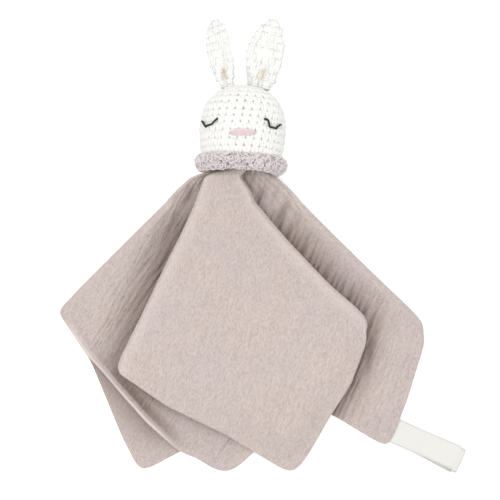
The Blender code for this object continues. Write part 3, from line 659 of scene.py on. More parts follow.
# The cloth beside the front panel sinks towards it and swells further out, and near it carries painted
# shade
valley = {
    "share": 0.88,
    "width": 0.0135,
    "clear": 0.0022,
    "underLayer": 0.3,
    "edgeFrom": 0.034,
    "edgeLength": 0.024,
    "swell": 0.0026,
    "swellAt": 0.024,
    "swellWidth": 0.010,
    "fadeFrom": 0.50,
    "fadeLength": 0.35,
    "neckShare": 0.30,
    "neckLength": 0.024,
    "hemFrom": 0.10,
    "hemFade": 0.35,
    "ripple": 0.0050,
    "rippleTurn": 67.0,
    "rippleDepth": 0.0005,
    "wander": (1.7, 3.7, 0.5),
    # how dark the painted shade is by the share of the way down, and how wide near
    # the neck and at the tip; what is left at the neck, what goes beyond the tip, and ripples
    "left": {"tones": [(0.0, 0.66), (0.3, 0.72), (0.5, 0.66), (0.7, 0.60), (0.82, 0.52), (0.95, 0.68)],
             "wide": 0.0150, "wideTip": 0.0105, "neckTone": 0.55, "hemDrop": 0.82, "rippled": 0.06},
    "right": {"tones": [(0.0, 0.66), (1.0, 0.70)], "wide": 0.0112, "wideTip": 0.0088, "neckTone": 0.10,
              "hemDrop": 0.0, "rippled": 0.38},
}

# Single hollows of the side panels: panel, place, turn, half length, half width,
# depth and how dark the painted shade in it is
puckers = [
    (4, 0.0125, 0.1195, 68.0, 0.0060, 0.0026, 0.0024, 0.60),
    (4, 0.0270, 0.1085, 64.0, 0.0100, 0.0030, 0.0018, 0.62),
    (4, 0.0225, 0.1200, 66.0, 0.0060, 0.0018, 0.0010, 0.30),
    (4, 0.0370, 0.1000, 66.0, 0.0070, 0.0020, 0.0010, 0.36),
    (4, 0.0876, 0.0165, 81.0, 0.0225, 0.0040, 0.0006, 0.80),
    (4, 0.0815, -0.0060, 76.0, 0.0120, 0.0030, 0.0004, 0.34),
    (2, -0.0345, 0.1200, 62.0, 0.0090, 0.0034, 0.0028, 0.70),
    (2, -0.0430, 0.1040, 60.0, 0.0140, 0.0026, 0.0020, 0.55),
    (2, -0.0640, 0.0760, 58.0, 0.0160, 0.0024, 0.0016, 0.45),
    (2, -0.0770, 0.0420, 57.0, 0.0180, 0.0024, 0.0014, 0.35),
]

# The left panel's hem is rolled up into a lip, with a hollow behind it, and
# shades the back below it; angles are from straight down
lip = {
    "from": -51.0,
    "to": -11.0,
    "ease": 9.0,
    "high": 0.0026,
    "width": 0.0042,
    "hollow": 0.0013,
    "hollowAt": 0.0100,
    "hollowWidth": 0.0060,
    "shades": [(-35.0, 0.0), (-31.0, 0.75), (-25.0, 0.88), (-20.0, 0.72), (-15.0, 0.45), (-10.0, 0.0)],
    "shadeAt": 0.0078,
    "shadeRise": 0.0048,
    "shadeWidth": 0.0055,
    "below": 0.46,
    "belowWidth": 0.0125,
    # painted highlights along the lip's rolled edge: where, how wide and how strong
    "rimLights": [(0.0009, 0.0008, 0.75), (0.0030, 0.0008, 0.45)],
}


def fanAngle(places):
    arm = places - fanCentre
    return np.degrees(np.arctan2(arm[:, 0], -arm[:, 1]))


def lipWeight(places):
    angle = fanAngle(places)
    return (smoothStep((angle - lip["from"]) / lip["ease"])
            * smoothStep((lip["to"] - angle) / lip["ease"]))


def rollLip(hem, sheet):
    # raises the left panel's hem, and gives where it is in shade and where light
    gap = apart(sheet[-1, :, :2], sheet[:, :, :2])
    weight = lipWeight(hem[:, :2])[None]
    sheet[:, :, 2] += weight * lip["high"] * bell(gap / lip["width"])
    sheet[:, :, 2] -= weight * lip["hollow"] * bell((gap - lip["hollowAt"]) / lip["hollowWidth"])
    shade = np.interp(fanAngle(hem[:, :2]), *zip(*lip["shades"]))[None]
    shade = shade * smoothStep(gap / lip["shadeRise"])
    shade *= bell(np.maximum(gap - lip["shadeAt"], 0.0) / lip["shadeWidth"])
    return shade, sum(weight * share * bell((gap - at) / wide) for at, wide, share in lip["rimLights"])


def nearestOn(line, places):
    # for each place, how far the line is and which of its points is nearest
    gaps = [apart(places[first:first + 4000, None], line[None]) for first in range(0, len(places), 4000)]
    return np.concatenate([gap.min(1) for gap in gaps]), np.concatenate([gap.argmin(1) for gap in gaps])


def shadeBelow(sheet, line):
    # the shade that the lip gives to the cloth that lies under it
    gap, nearest = nearestOn(line, sheet[:, :, :2].reshape(-1, 2))
    shade = lip["below"] * bell(gap / lip["belowWidth"]) * lipWeight(line)[nearest]
    return shade.reshape(sheet.shape[:2])


def sinkBeside(sheet, front, atStart, side, start, tone):
    # lowers a side panel near the edge and hem of the front panel, down to just
    # above the back, and gives the painted shade of that hollow at each point
    edge = front[:, 0 if atStart else -1, :2]
    hem = front[-1, :, :2] if atStart else front[-1, ::-1, :2]
    tip = int(np.argmin(hem[:, 1]))
    line = np.concatenate([edge, hem[1:tip + 1]])
    along = np.concatenate([np.zeros(len(edge)), np.linspace(0.0, 1.0, tip)])
    places = sheet[:, :, :2].reshape(-1, 2)
    gap, nearest = nearestOn(line, places)
    way = np.gradient(line, axis=0)[nearest]
    arm = places - line[nearest]
    aside = way[:, 0] * arm[:, 1] - way[:, 1] * arm[:, 0]
    shape = sheet.shape[:2]
    off = (gap * np.where(aside * side > 0, 1.0, -1.0)).reshape(shape)
    outside = np.maximum(off, 0)
    past = along[nearest].reshape(shape)
    fade = 1.0 - smoothStep((past - valley["fadeFrom"]) / valley["fadeLength"])
    near = np.where(off > 0, bell(outside / valley["width"]),
                    smoothStep((off + valley["edgeFrom"]) / valley["edgeLength"])) * fade
    distance = apart(sheet[:, :, :2], start[None])
    clear = smoothStep(distance / valley["neckLength"])
    near *= valley["neckShare"] + (1.0 - valley["neckShare"]) * clear
    down = np.minimum(nearest / len(edge), 1.0).reshape(shape)
    turn = math.radians(valley["rippleTurn"])
    aside = (sheet[:, :, 0] * math.sin(turn) - sheet[:, :, 1] * math.cos(turn)) / valley["ripple"]
    high, span, phase = valley["wander"]
    ripple = np.sin(math.tau * aside + high * np.sin(math.tau * aside / span + phase))
    dark = np.interp(down, *zip(*tone["tones"])) * fade
    dark *= tone["neckTone"] + (1.0 - tone["neckTone"]) * clear
    dark *= bell(outside / (tone["wide"] + (tone["wideTip"] - tone["wide"]) * down ** 3))
    dark *= 1.0 - tone["hemDrop"] * smoothStep((past - valley["hemFrom"]) / valley["hemFade"])
    dark *= 1.0 + tone["rippled"] * ripple
    under = lineHeights(valley["underLayer"], 0.0, 0.0, np.zeros_like(distance), distance)
    room = np.maximum(sheet[:, :, 2] - (under + valley["clear"]), 0.0)
    swell = valley["swell"] * bell((off - valley["swellAt"]) / valley["swellWidth"]) * fade
    sheet[:, :, 2] += (swell - room * near * valley["share"]
                       - ripple * near * tone["rippled"] * valley["rippleDepth"] * 2)
    return dark


def pressPuckers(grid, marks, paintedShade):
    for panel, x, y, angle, long, wide, depth, dark in puckers:
        turn = math.radians(angle)
        right, up = (grid[:, marks == panel, k] - middle for k, middle in enumerate((x, y)))
        over = right * math.cos(turn) + up * math.sin(turn)
        beside = up * math.cos(turn) - right * math.sin(turn)
        hollow = np.exp(-(over / long) ** 2 - (beside / wide) ** 2)
        grid[:, marks == panel, 2] -= depth * hollow
        # each hollow is painted darker too, as painted shade
        paintedShade[:, marks == panel] = np.maximum(paintedShade[:, marks == panel], hollow * dark)


def plyHalf(gap):
    # half the doubled cloth's thickness, by the distance from the hem, where it
    # is a little thicker and rounds over
    ridge = smoothStep(gap / cloth["ridgeIn"])
    ridge *= 1.0 - smoothStep((gap - cloth["hemWidth"] * 0.75) / cloth["ridgeOut"])
    half = cloth["halfThickness"] + (cloth["hemThickness"] - cloth["halfThickness"]) * ridge
    edge = np.clip(gap / cloth["hemThickness"], 0.0, 1.0)
    return half * np.sqrt(np.maximum(1.0 - (1.0 - edge) ** 2, 0.0))


def rowShares():
    # evenly spaced rows, and closer ones where the hem rounds over
    last = cloth["hemRowsLength"] / halfDiagonal
    body = np.linspace(0.0, 1.0 - last, cloth["bodyRows"])
    turned = 1.0 - np.linspace(0.0, 1.0, cloth["hemRows"] + 1)[1:]
    turned = 1.0 - last * turned ** cloth["hemRowsPower"]
    return np.concatenate([body, turned])


def lineHeights(neckLayer, lyingLayer, hemLayer, shares, distance):
    start, ease = cloth["overhangShare"], cloth["overhangEase"]
    over = smoothStep((shares - start + ease) / (1.0 - start + ease))
    layer = lyingLayer + (hemLayer - lyingLayer) * over
    low = cloth["landHeight"] + layer * cloth["layerPitch"]
    high = cloth["startHeight"] + neckLayer * cloth["startPitch"]
    steep = np.clip(1.0 - distance / cloth["landDistance"], 0.0, 1.0) ** 2
    return low + (high - low) * steep


def panelSheet(index, hem, shares):
    # one panel of the fan, with the way that each column runs and where it starts
    start = np.stack([hem[:, 2] * cloth["startHalfWidth"] + neckPoint.x,
                      np.full(len(hem), neckPoint.y - cloth["startDrop"])], 1)
    way = hem[:, :2] - start
    plan = start[None] + way[None] * shares[:, None, None]
    across = np.linspace(0.0, 1.0, len(hem))
    edges = (folds[index - 1], True, 1 - across), (folds[index], False, across)
    plan[:, :, 0] += sum(bowAt(fold, shares)[:, None] * share ** cloth["bowPower"]
                         for fold, atStart, share in edges)
    for fold, atStart, share in edges:
        if fold:
            roundTip(plan, atStart, fold["round"])
    layers = (hem[:, k][None] for k in (3, 4, 5))
    height = lineHeights(*layers, shares[:, None], apart(plan, start[None]))
    return np.concatenate([plan, height[:, :, None]], 2), normalized(way), start


def foldBulge(sheet, after, way, side):
    # draws two panels in to make room for the fold between them, and gives how far
    # the fold stands out from their shared edge at each row
    outward = np.array([way[1], -way[0]]) * -side
    half = np.abs(sheet[:, -1, 2] - after[:, 0, 2]) / 2
    middle = (sheet[:, -1, :2] + after[:, 0, :2]) / 2
    run = smoothed(np.gradient(middle, axis=0), 1.0, cloth["edgeBlur"])
    run /= np.maximum(np.linalg.norm(run, axis=1), 1e-9)[:, None]
    local = np.stack([run[:, 1], -run[:, 0]], 1) * -side
    turned = local @ outward
    share = np.clip((turned - turned[-1]) / max(1.0 - turned[-1], cloth["leastTurn"]), 0.0, 1.0)
    bulge = local * (half * share)[:, None]
    inset = bulge + local * plyHalf(lengthAlong(middle[::-1])[::-1])[:, None]
    for piece, edge in ((sheet, -1), (after, 0)):
        pull = pulled(apart(piece[:, :, :2], piece[:, edge, :2][:, None]), cloth["foldReach"])
        piece[:, :, :2] -= inset[:, None] * pull
    return bulge


def pulled(gap, reach):
    # how strongly a point follows an edge that is moved
    return (np.clip(1.0 - gap / reach, 0.0, 1.0) ** 2)[:, :, None]


def fanRows(shares):
    # the cloth's middle surface below the neck: rows x columns x 3, as closed loops,
    # and its painted shade, how calm it is and its painted highlight there
    hems = [panelHem(lines) for name, side, lines in cloth["panels"]]
    made = [panelSheet(index, hem, shares) for index, hem in enumerate(hems)]
    sheets, ways, starts = zip(*made)
    lipShade, lipRimLight = rollLip(hems[2], sheets[2])
    # draws the edge of each lower panel to that of the upper one
    for upper, upperEdge, lower, lowerEdge in cloth["joined"]:
        plan = sheets[lower][:, :, :2]
        shift = sheets[upper][:, upperEdge, :2] - plan[:, lowerEdge]
        plan += shift[:, None] * pulled(apart(plan, plan[:, lowerEdge][:, None]), cloth["joinReach"])
    gaps = [np.minimum(*(apart(sheet[:, :, :2], sheet[:, edge, :2][:, None]) for edge in (0, -1)))
            for sheet in sheets]
    calm = cloth["foldCalm"]
    calms = [calm + (1.0 - calm) * smoothStep(gap / cloth["calmReach"]) for gap in gaps]
    depths, rimLights = ([np.zeros_like(gap) for gap in gaps] for _ in range(2))
    # painted highlight along the front panel's folds
    rimLights[0] = cloth["foldRimLight"] * (1.0 - smoothStep(gaps[0] / cloth["rimReach"]))
    rimLights[2] = lipRimLight
    beside = sinkBeside(sheets[2], sheets[0], False, -1, starts[2], valley["left"])
    depths[2] = np.maximum(beside, lipShade)
    depths[3] = shadeBelow(sheets[3], sheets[2][-1, :, :2])
    depths[4] = sinkBeside(sheets[4], sheets[0], True, 1, starts[4], valley["right"])
    afters = sheets[1:] + sheets[:1]
    bulges = [foldBulge(sheet, after, way[-1], panel[1])
              for sheet, after, way, panel in zip(sheets, afters, ways, cloth["panels"])]
    marks, loops = [], ([], [], [], [])
    turns = np.linspace(math.pi / 2, -math.pi / 2, cloth["foldSteps"] + 2)[1:-1]
    for index, (sheet, after) in enumerate(zip(sheets, afters)):
        middle = (sheet[:, -1] + after[:, 0]) / 2
        half = (sheet[:, -1, 2] - after[:, 0, 2]) / 2
        bulge = np.concatenate([bulges[index], np.zeros((len(half), 1))], 1)
        arc = np.stack([middle + bulge * math.cos(turn)
                        + np.array([0, 0, 1.0]) * (half * math.sin(turn))[:, None] for turn in turns], 1)
        marks += [index] * sheet.shape[1] + [index + 0.5] * len(turns)
        blank = np.zeros(arc.shape[:2])
        for loop, parts in zip(loops, ((sheet, arc), (depths[index], blank), (calms[index], blank + calm),
                                       (rimLights[index], blank))):
            loop.extend(parts)
    return np.array(marks), *(np.concatenate(parts, 1) for parts in loops)


# How the gathered cloth narrows up into the collar: metres above the pivot,
# half width as a share of the fan's, height as a share, how far it is centred,
# and how far its middle slips aside
neckShape = {
    "rise": [-0.018, -0.0110, -0.0038, -0.0018, 0.0005, 0.0030, 0.0070],
    "wide": [1.0, 0.850, 0.665, 0.60, 0.44, 0.30, 0.265],
    "high": [1.0, 1.05, 1.10, 1.10, 1.05, 0.95, 0.90],
    "centred": [0.0, 0.0, 0.0, 0.1, 0.6, 1.0, 1.0],
    "slip": [0.0, -0.0012, -0.0038, -0.0045, -0.0030, 0.0, 0.0],
    "levelLength": 0.02,
}


def neckRows(first):
    # rows above the fan, the topmost row first, worked out from the fan's first row
    rises = np.linspace(neckShape["rise"][-1], neckShape["rise"][0], cloth["neckRows"] + 1)[:-1]
    wide, high, centred, slips = (np.interp(rises, neckShape["rise"], neckShape[key])
                                  for key in ("wide", "high", "centred", "slip"))
    middle = np.array([(first[:, 0].max() + first[:, 0].min()) / 2, 0.0,
                       (first[:, 2].max() + first[:, 2].min()) / 2])
    outer = (first[:, 0] - middle[0]) / (first[:, 0].max() - middle[0])
    rows = []
    for rise, w, h, c, slip in zip(rises, wide, high, centred, slips):
        row = first.copy()
        row[:, 0] = middle[0] + (first[:, 0] - middle[0]) * w + slip * (1.0 - outer ** 2)
        row[:, 2] = middle[2] + (first[:, 2] - middle[2]) * h
        row[:, 0] += (neckPoint.x - middle[0]) * c
        level = smoothStep((rise + cloth["startDrop"]) / neckShape["levelLength"])
        row[:, 2] += (neckPoint.z - middle[2]) * level
        row[:, 1] = neckPoint.y + rise
        rows.append(row)
    return np.array(rows)


def gridNormals(grid):
    # the direction of the face side at each point of the closed loops
    along = np.roll(grid, -1, 1) - np.roll(grid, 1, 1)
    down = np.empty_like(grid)
    down[1:-1] = grid[2:] - grid[:-2]
    down[0] = grid[1] - grid[0]
    down[-1] = grid[-1] - grid[-2]
    normal = np.cross(along, down)
    return normal / np.maximum(np.linalg.norm(normal, axis=2), 1e-12)[:, :, None]


def flatPlaces(grid, marks):
    # where each point was on the flat square, in metres: the hem between two
    # corners is one side, and a line from the neck runs from the middle to it
    hem = grid[-1, :, :2]
    at, total = lengthRound(hem)
    tips = []
    for panel in (0, 2, 3, 4):
        here = np.where(marks == panel)[0]
        tips.append(at[here[np.argmax(apart(hem[here], fanCentre))]])
    half = cloth["side"] / 2
    square = np.array([[half, -half], [-half, -half], [-half, half], [half, half], [half, -half]])
    flatHem = sampled(np.where(at < tips[0], at + total, at), np.array(tips + [tips[0] + total]), square)
    reach = lengthAlong(grid)
    share = (reach + cloth["middleGap"]) / (reach[-1] + cloth["middleGap"])
    return flatHem[None] * share[:, :, None]


def finishTree(tree, geometry, start, end):
    realize = tree.nodes.new("GeometryNodeRealizeInstances")
    paint = tree.nodes.new("GeometryNodeSetMaterial")
    wire(tree, (geometry, realize.inputs[0]), (realize.outputs[0], paint.inputs["Geometry"]),
         (start["Material"], paint.inputs["Material"]), (paint.outputs[0], end["Geometry"]))
    return tree


def pointValue(tree, name, kind="FLOAT"):
    node = newNode(tree, "GeometryNodeInputNamedAttribute", data_type=kind)
    node.inputs["Name"].default_value = name
    return node.outputs["Attribute"]


def makeCrinkleTree():
    # pushes a sheet in and out along its normals, in long ridges and broad swells
    tree, start, end = newTree("gauzeCrinkle", "GeometryNodeTree", {
        "Geometry": "Geometry", **dict.fromkeys(crinkleSizes, "Float"), "Material": "Material"},
        {"Geometry": "Geometry"})
    place = tree.nodes.new("GeometryNodeInputPosition").outputs[0]
    sizes = (start[key] for key in crinkleSizes[:4])
    ridge = ridgeField(tree, place, pointValue(tree, "streakTurn"), *sizes)
    paintedShade = times(tree, times(tree, ridge, start["depth"]), pointValue(tree, "crinkle"))
    parts = splitVector(tree, place)
    flat = joinVector(tree, *(divided(tree, parts[slot], start["swellSize"]) for slot in (0, 1)))
    swell = minus(tree, noiseNode(tree, flat, 1.0, 1.0, 0.5), 0.5)
    clear = atMost(tree, times(tree, parts[2], crinkle["flatRise"]), 1.0)
    lift = times(tree, times(tree, swell, start["swellDepth"]), times(tree, clear, crinkle["swellGain"]))
    normal = tree.nodes.new("GeometryNodeInputNormal").outputs[0]
    mover = tree.nodes.new("GeometryNodeSetPosition")
    offset = vectorNode(tree, "ADD", vectorNode(tree, "SCALE", normal, scale=paintedShade),
                        joinVector(tree, 0.0, 0.0, lift))
    wire(tree, (offset, mover.inputs["Offset"]), (start["Geometry"], mover.inputs["Geometry"]))
    return finishTree(tree, mover.outputs[0], start, end)


def useTree(item, tree, **values):
    # adds the tree as a modifier and sets its named inputs by identifier
    modifier = item.modifiers.new(tree.name, "NODES")
    modifier.node_group = tree
    for socket in tree.interface.items_tree:
        if socket.in_out == "INPUT" and socket.name in values:
            modifier[socket.identifier] = values[socket.name]


def perPanel(marks, values, blur):
    # a value for each column, from one for each panel, eased where panels meet
    count = len(marks)
    row = np.array([values[int(mark)] for mark in marks], float)
    row = smoothed(np.concatenate([row, row])[:, None], 1.0, blur)[:, 0]
    return np.concatenate([row[count:count + count // 2], row[count // 2:count]])


# The pleats that run down from the neck and fade, in metres
pleats = {
    "pitch": 0.0072,
    "depth": 0.00105,
    "wobbles": ((0.9, 5, 0.0), (0.6, 11, 1.3)),     # each with its height, turns and phase
    "uneven": (0.65, 0.35, 7, 0.4),
    "amounts": (0.08, 0.6, 0.35, 0.8, 0.3, 0.6),
    "blur": 6.0,
    "above": (0.025, 0.0014),                       # how far above the fan the rows lie
    "fadeLength": 0.016,
    "ease": (0.030, 0.010, 0.2),
}


def addPleats(grid, fan, marks):
    at, total = lengthRound(fan[0])
    wobble = sum(high * np.sin(at / total * math.tau * turns + phase)
                 for high, turns, phase in pleats["wobbles"])
    steady, uneven, turns, phase = pleats["uneven"]
    wave = np.sin(np.round(total / pleats["pitch"]) * math.tau / total * at + wobble)
    wave *= steady + uneven * np.sin(at / total * math.tau * turns + phase)
    wave *= perPanel(marks, pleats["amounts"], pleats["blur"])
    reach = np.concatenate([-np.linspace(*pleats["above"], len(grid) - len(fan)),
                            apart(fan[:, :, :2], fan[0, :, :2]).mean(1)])
    fade = np.where(reach < 0, 1.0, np.exp(-np.maximum(reach, 0) / pleats["fadeLength"]))
    start, length, least = pleats["ease"]
    fade *= np.clip((reach + start) / length, least, 1.0)
    return grid + gridNormals(grid) * (wave[None] * fade[:, None] * pleats["depth"])[:, :, None]


def makeCloth(faceMaterial, liningMaterial):
    marks, fan, paintedShade, calm, rimLight = fanRows(rowShares())
    neck = neckRows(fan[0])
    grid = np.concatenate([neck, fan])
    # the painted shade fades out up the neck
    paintedShade = np.concatenate([paintedShade[:1] * np.linspace(0.0, 1.0, len(neck))[:, None], paintedShade])
    calm, rimLight = (np.concatenate([np.repeat(part[:1], len(neck), 0), part]) for part in (calm, rimLight))
    rows, count = grid.shape[:2]
    pressPuckers(grid, marks, paintedShade)
    print("cloth grid", rows, "rows", count, "columns")
    grid = addPleats(grid, fan, marks)
    # how strongly each part is crinkled, and the way its streaks run
    quiet = smoothStep(apart(grid[-1], grid) / cloth["quietReach"])
    quiet = cloth["hemQuiet"] + (1.0 - cloth["hemQuiet"]) * quiet
    least, more = cloth["deepCrinkle"]
    strength = perPanel(marks, cloth["crinkled"], cloth["crinkledBlur"])[None]
    strength = strength * quiet * calm * (least + more * paintedShade)
    slant = np.radians(perPanel(marks, cloth["streakTurns"], cloth["turnBlur"]))[None]
    slant = np.broadcast_to(slant, (rows, count))
    base = meshPiece("clothMiddle", grid.reshape(-1, 3), ringFaces(rows, count))
    setValues(base.data, "crinkle", strength)
    setValues(base.data, "streakTurn", slant)
    useTree(base, crinkleTree, Material=faceMaterial, **{key: crinkle[key] for key in crinkleSizes})
    middle = readPoints(baked(base)).reshape(rows, count, 3)
    bpy.data.objects.remove(base)
    normals = gridNormals(middle)
    # the two plies: a turned seam at the hem, a little thicker than the cloth
    half = plyHalf(lengthAlong(middle[::-1])[::-1])
    flat = flatPlaces(grid, marks).reshape(-1, 2)
    pieces = []
    for name, sign, material in (("gauze_face", 1, faceMaterial), ("gauze_lining", -1, liningMaterial)):
        points = middle + normals * (half * sign)[:, :, None]
        points[:, :, 2] = np.maximum(points[:, :, 2], 0.00005)
        faces = ringFaces(rows, count)[:, ::sign]
        piece = meshPiece(name, points.reshape(-1, 3), faces, material, flat, "cloth")
        for label, values in {"crinkle": strength, "streakTurn": slant, "paintedShade": paintedShade, "rimLight": rimLight}.items():
            setValues(piece.data, label, values)
        pieces.append(piece)
        print(name, len(piece.data.polygons) * 2, "triangles")
    return pieces


crinkleTree = makeCrinkleTree()
gauzeFace = makeGauze("gauzeFace", gauzeLook["colour"])
gauzeLining = makeGauze("gauzeLining", gauzeLook["liningColour"])
clothFace, clothLining = makeCloth(gauzeFace, gauzeLining)


# Yarn and thread: each one's colour, a darker tone for random patches and for the
# painted shade between its plies, sheen and how deep its plies lie

yarnLooks = {
    "creamYarn": ((0.950, 0.946, 0.922), (0.912, 0.902, 0.866), 0.12, 0.03),
    # a darker wall for painted shade between the head's stitches
    "creamGapShade": ((0.80, 0.79, 0.75), (0.72, 0.71, 0.67), 0.1, 0.0),
    "creamEar": ((0.905, 0.902, 0.882), (0.865, 0.858, 0.834), 0.1, 0.0),
    # one lilac yarn in three tones: the ribs; the fluff lighter, partly its own paler fibres and partly
    # painted light; the core darker, as painted shade
    "lilacYarn": ((0.60, 0.52, 0.54), (0.44, 0.37, 0.39), 0.3, 0.05),
    "lilacFluff": ((0.85, 0.78, 0.79), (0.57, 0.49, 0.51), 0.4, 0.0),
    "lilacCoreShade": ((0.42, 0.35, 0.37), (0.32, 0.26, 0.28), 0.2, 0.0),
    "eyeThread": ((0.045, 0.045, 0.047), (0.022, 0.022, 0.023), 0.1, 0.10),
    "noseThread": ((0.98, 0.83, 0.855), (0.94, 0.68, 0.735), 0.2, 0.05),
    "sewingThread": ((0.93, 0.92, 0.89), (0.84, 0.82, 0.78), 0.1, 0.08),
    "stuffing": ((0.88, 0.87, 0.84), (0.74, 0.72, 0.68), 0.3, 0.0),
}
fibreLook = {
    # painted shade in the pinch at each ear's foot
    "tan": (0.66, 0.50, 0.33),
    "scale": 2600.0,
    "depth": 0.00025,
    "toneScale": 420.0,
    "toneLevel": 0.35,
    "toneGain": 1.3,
    "toneMost": 0.45,
    "slant": 2.0,
    "plyShade": 0.55,
    "plyDepth": 0.003,
}


def makeYarn(name):
    # spun yarn: fibres that turn round the strand, from its own UV where it has one
    look = fibreLook
    colour, shade, sheen, ply = yarnLooks[name]
    material, tree, shader = startMaterial(name, 0.85, sheen=sheen, specular=0.2)
    place = objectPlace(tree)
    parts = splitVector(tree, ownUv(tree, "yarn"))
    slant = plus(tree, parts[0], times(tree, parts[1], look["slant"]))
    twist = mathNode(tree, "ABSOLUTE", mathNode(tree, "SINE", times(tree, slant, math.pi)))
    layers = [(noiseNode(tree, place, look["scale"], 3.0, 0.65), look["depth"])]
    lights = minus(tree, noiseNode(tree, place, look["toneScale"], 2.0, 0.5), look["toneLevel"])
    lights = times(tree, withinOne(tree, times(tree, lights, look["toneGain"])), look["toneMost"])
    # darker between the plies: painted shade in the twist's grooves
    if ply:
        between = times(tree, minus(tree, 1.0, twist), look["plyShade"])
        lights = atMost(tree, plus(tree, lights, between), 1.0)
        layers.insert(0, (twist, ply * look["plyDepth"]))
    colour = mixColours(tree, lights, colour, shade)
    # painted shade where a piece's tint says: the pinch at the ears' feet
    colour = mixColours(tree, ownValue(tree, "tint"), colour, look["tan"])
    tree.links.new(colour, shader.inputs["Base Color"])
    bumpChain(tree, shader, layers)
    return material


yarns = {name: makeYarn(name) for name in yarnLooks}


# Directions that no strand runs along, to start the sides of tubes and threads
tubeHint = (0.123, 0.456, 0.881)
threadHint = (0.31, 0.27, 0.91)


def carriedSides(way, hint):
    # a direction beside each step of a path, carried along it without turning
    side = np.cross(way[0], hint)
    sides = []
    for step in way:
        side = side - step * (side @ step)
        side = side / np.linalg.norm(side)
        sides.append(side)
    return sides


def tubeMesh(path, radii, sides=6, twists=None):
    # points, faces and UVs of a tube along a path; twists is how often the plies turn
    path = np.asarray(path, float)
    count = len(path)
    radii = np.broadcast_to(np.asarray(radii, float), (count,))
    way = normalized(np.gradient(path, axis=0))
    turns = np.arange(sides) / sides * math.tau
    cosines, sines = np.cos(turns)[:, None], np.sin(turns)[:, None]
    stations = zip(path, radii, way, carriedSides(way, tubeHint))
    points = np.concatenate([spot + radius * (cosines * side + sines * np.cross(step, side))
                             for spot, radius, step, side in stations])
    faces = ringFaces(count, sides).tolist() + [list(range(sides))[::-1],
                                                list(range((count - 1) * sides, count * sides))]
    along = lengthAlong(path)
    plies = along / max(along[-1], 1e-9) * (twists if twists is not None else along[-1] / 0.002)
    uvs = np.stack([np.repeat(plies, sides), np.tile(np.arange(sides) / sides, count)], 1)
    return points, faces, uvs


def yarnPiece(name, parts, material=None):
    # one piece from several tubes
    points, faces, uvs, offset = [], [], [], 0
    for somePoints, someFaces, someUvs in parts:
        points.append(somePoints)
        faces += [[corner + offset for corner in face] for face in someFaces]
        uvs.append(someUvs)
        offset += len(somePoints)
    return meshPiece(name, np.concatenate(points), faces, material, np.concatenate(uvs))


def pliedThread(path, radius, turn, sides=5):
    # two strands that wind round one another along a path
    path = np.asarray(path, float)
    way = normalized(np.gradient(path, axis=0))
    frames = [(side, np.cross(step, side)) for step, side in zip(way, carriedSides(way, threadHint))]
    strand = radius * 0.56
    parts = []
    for start in (0.0, 0.5):
        angles = math.tau * (lengthAlong(path) / turn + start)
        parts.append(tubeMesh([point + (a * math.cos(angle) + b * math.sin(angle)) * (radius - strand)
                               for point, (a, b), angle in zip(path, frames, angles)], strand, sides))
    return parts


def makeStitchTree():
    # a stitch set on each point, turned and sized by the point's own values
    tree, start, end = newTree("layStitches", "GeometryNodeTree", {
        "Geometry": "Geometry", "Stitch": "Object", "Wobble": "Float", "Unevenness": "Float", "Seed": "Int",
        "Material": "Material"}, {"Geometry": "Geometry"})
    stitch = newNode(tree, "GeometryNodeObjectInfo", transform_space="ORIGINAL")
    chance = []
    for offset in (0.0, 7.0):
        node = newNode(tree, "FunctionNodeRandomValue", data_type="FLOAT_VECTOR")
        for key, value in (("Min", (-1.0, -1.0, -1.0)), ("Max", (1.0, 1.0, 1.0)),
                           ("Seed", plus(tree, start["Seed"], offset))):
            feed(tree, node.inputs[key], value)
        chance.append(node.outputs[0])
    angles = vectorNode(tree, "ADD", pointValue(tree, "turn", "FLOAT_VECTOR"),
                        vectorNode(tree, "SCALE", chance[0], scale=start["Wobble"]))
    grown = vectorNode(tree, "ADD", vectorNode(tree, "SCALE", chance[1], scale=start["Unevenness"]),
                       (1.0, 1.0, 1.0))
    sized = vectorNode(tree, "MULTIPLY", pointValue(tree, "size", "FLOAT_VECTOR"), grown)
    turner = tree.nodes.new("FunctionNodeEulerToRotation")
    placer = tree.nodes.new("GeometryNodeInstanceOnPoints")
    wire(tree, (start["Stitch"], stitch.inputs["Object"]), (angles, turner.inputs[0]),
         (start["Geometry"], placer.inputs["Points"]),
         (stitch.outputs["Geometry"], placer.inputs["Instance"]),
         (turner.outputs[0], placer.inputs["Rotation"]), (sized, placer.inputs["Scale"]))
    return finishTree(tree, placer.outputs[0], start, end)


stitchTree = makeStitchTree()


def layStitches(name, unit, spots, turn, origin, material, wobble=0.0, uneven=0.0, seed=4):
    # spots give each stitch's place, its direction across and up, and its size, in
    # the frame of the head or of an ear
    places, across, ups = (np.array([spot[k] for spot in spots], float) @ turn.T for k in range(3))
    places = places + origin
    angles = []
    for a, b in zip(across, ups):
        a = a / np.linalg.norm(a)
        b = b - a * (a @ b)
        b = b / np.linalg.norm(b)
        angles.append(tuple(Matrix((a, b, np.cross(a, b))).transposed().to_euler()))
    cloud = meshPiece(name + "Points", places, [])
    setValues(cloud.data, "turn", angles, "FLOAT_VECTOR")
    setValues(cloud.data, "size", [spot[3] for spot in spots], "FLOAT_VECTOR")
    setValues(cloud.data, "tint", np.zeros(len(places)))
    useTree(cloud, stitchTree, Stitch=units[unit], Wobble=wobble, Unevenness=uneven, Seed=seed,
            Material=material)
    mesh = baked(cloud)
    bpy.data.objects.remove(cloud)
    smoothFaces(mesh)
    points = readPoints(mesh)
    points[:, 2] = np.maximum(points[:, 2], 0.0001)
    mesh.vertices.foreach_set("co", np.ascontiguousarray(points, np.float32).ravel())
    for label in ("turn", "size"):
        if label in mesh.attributes:
            mesh.attributes.remove(mesh.attributes[label])
    mesh.name = name
    print(name, len(places), "stitches", sum(len(p.vertices) - 2 for p in mesh.polygons), "triangles")
    return newObject(name, mesh)


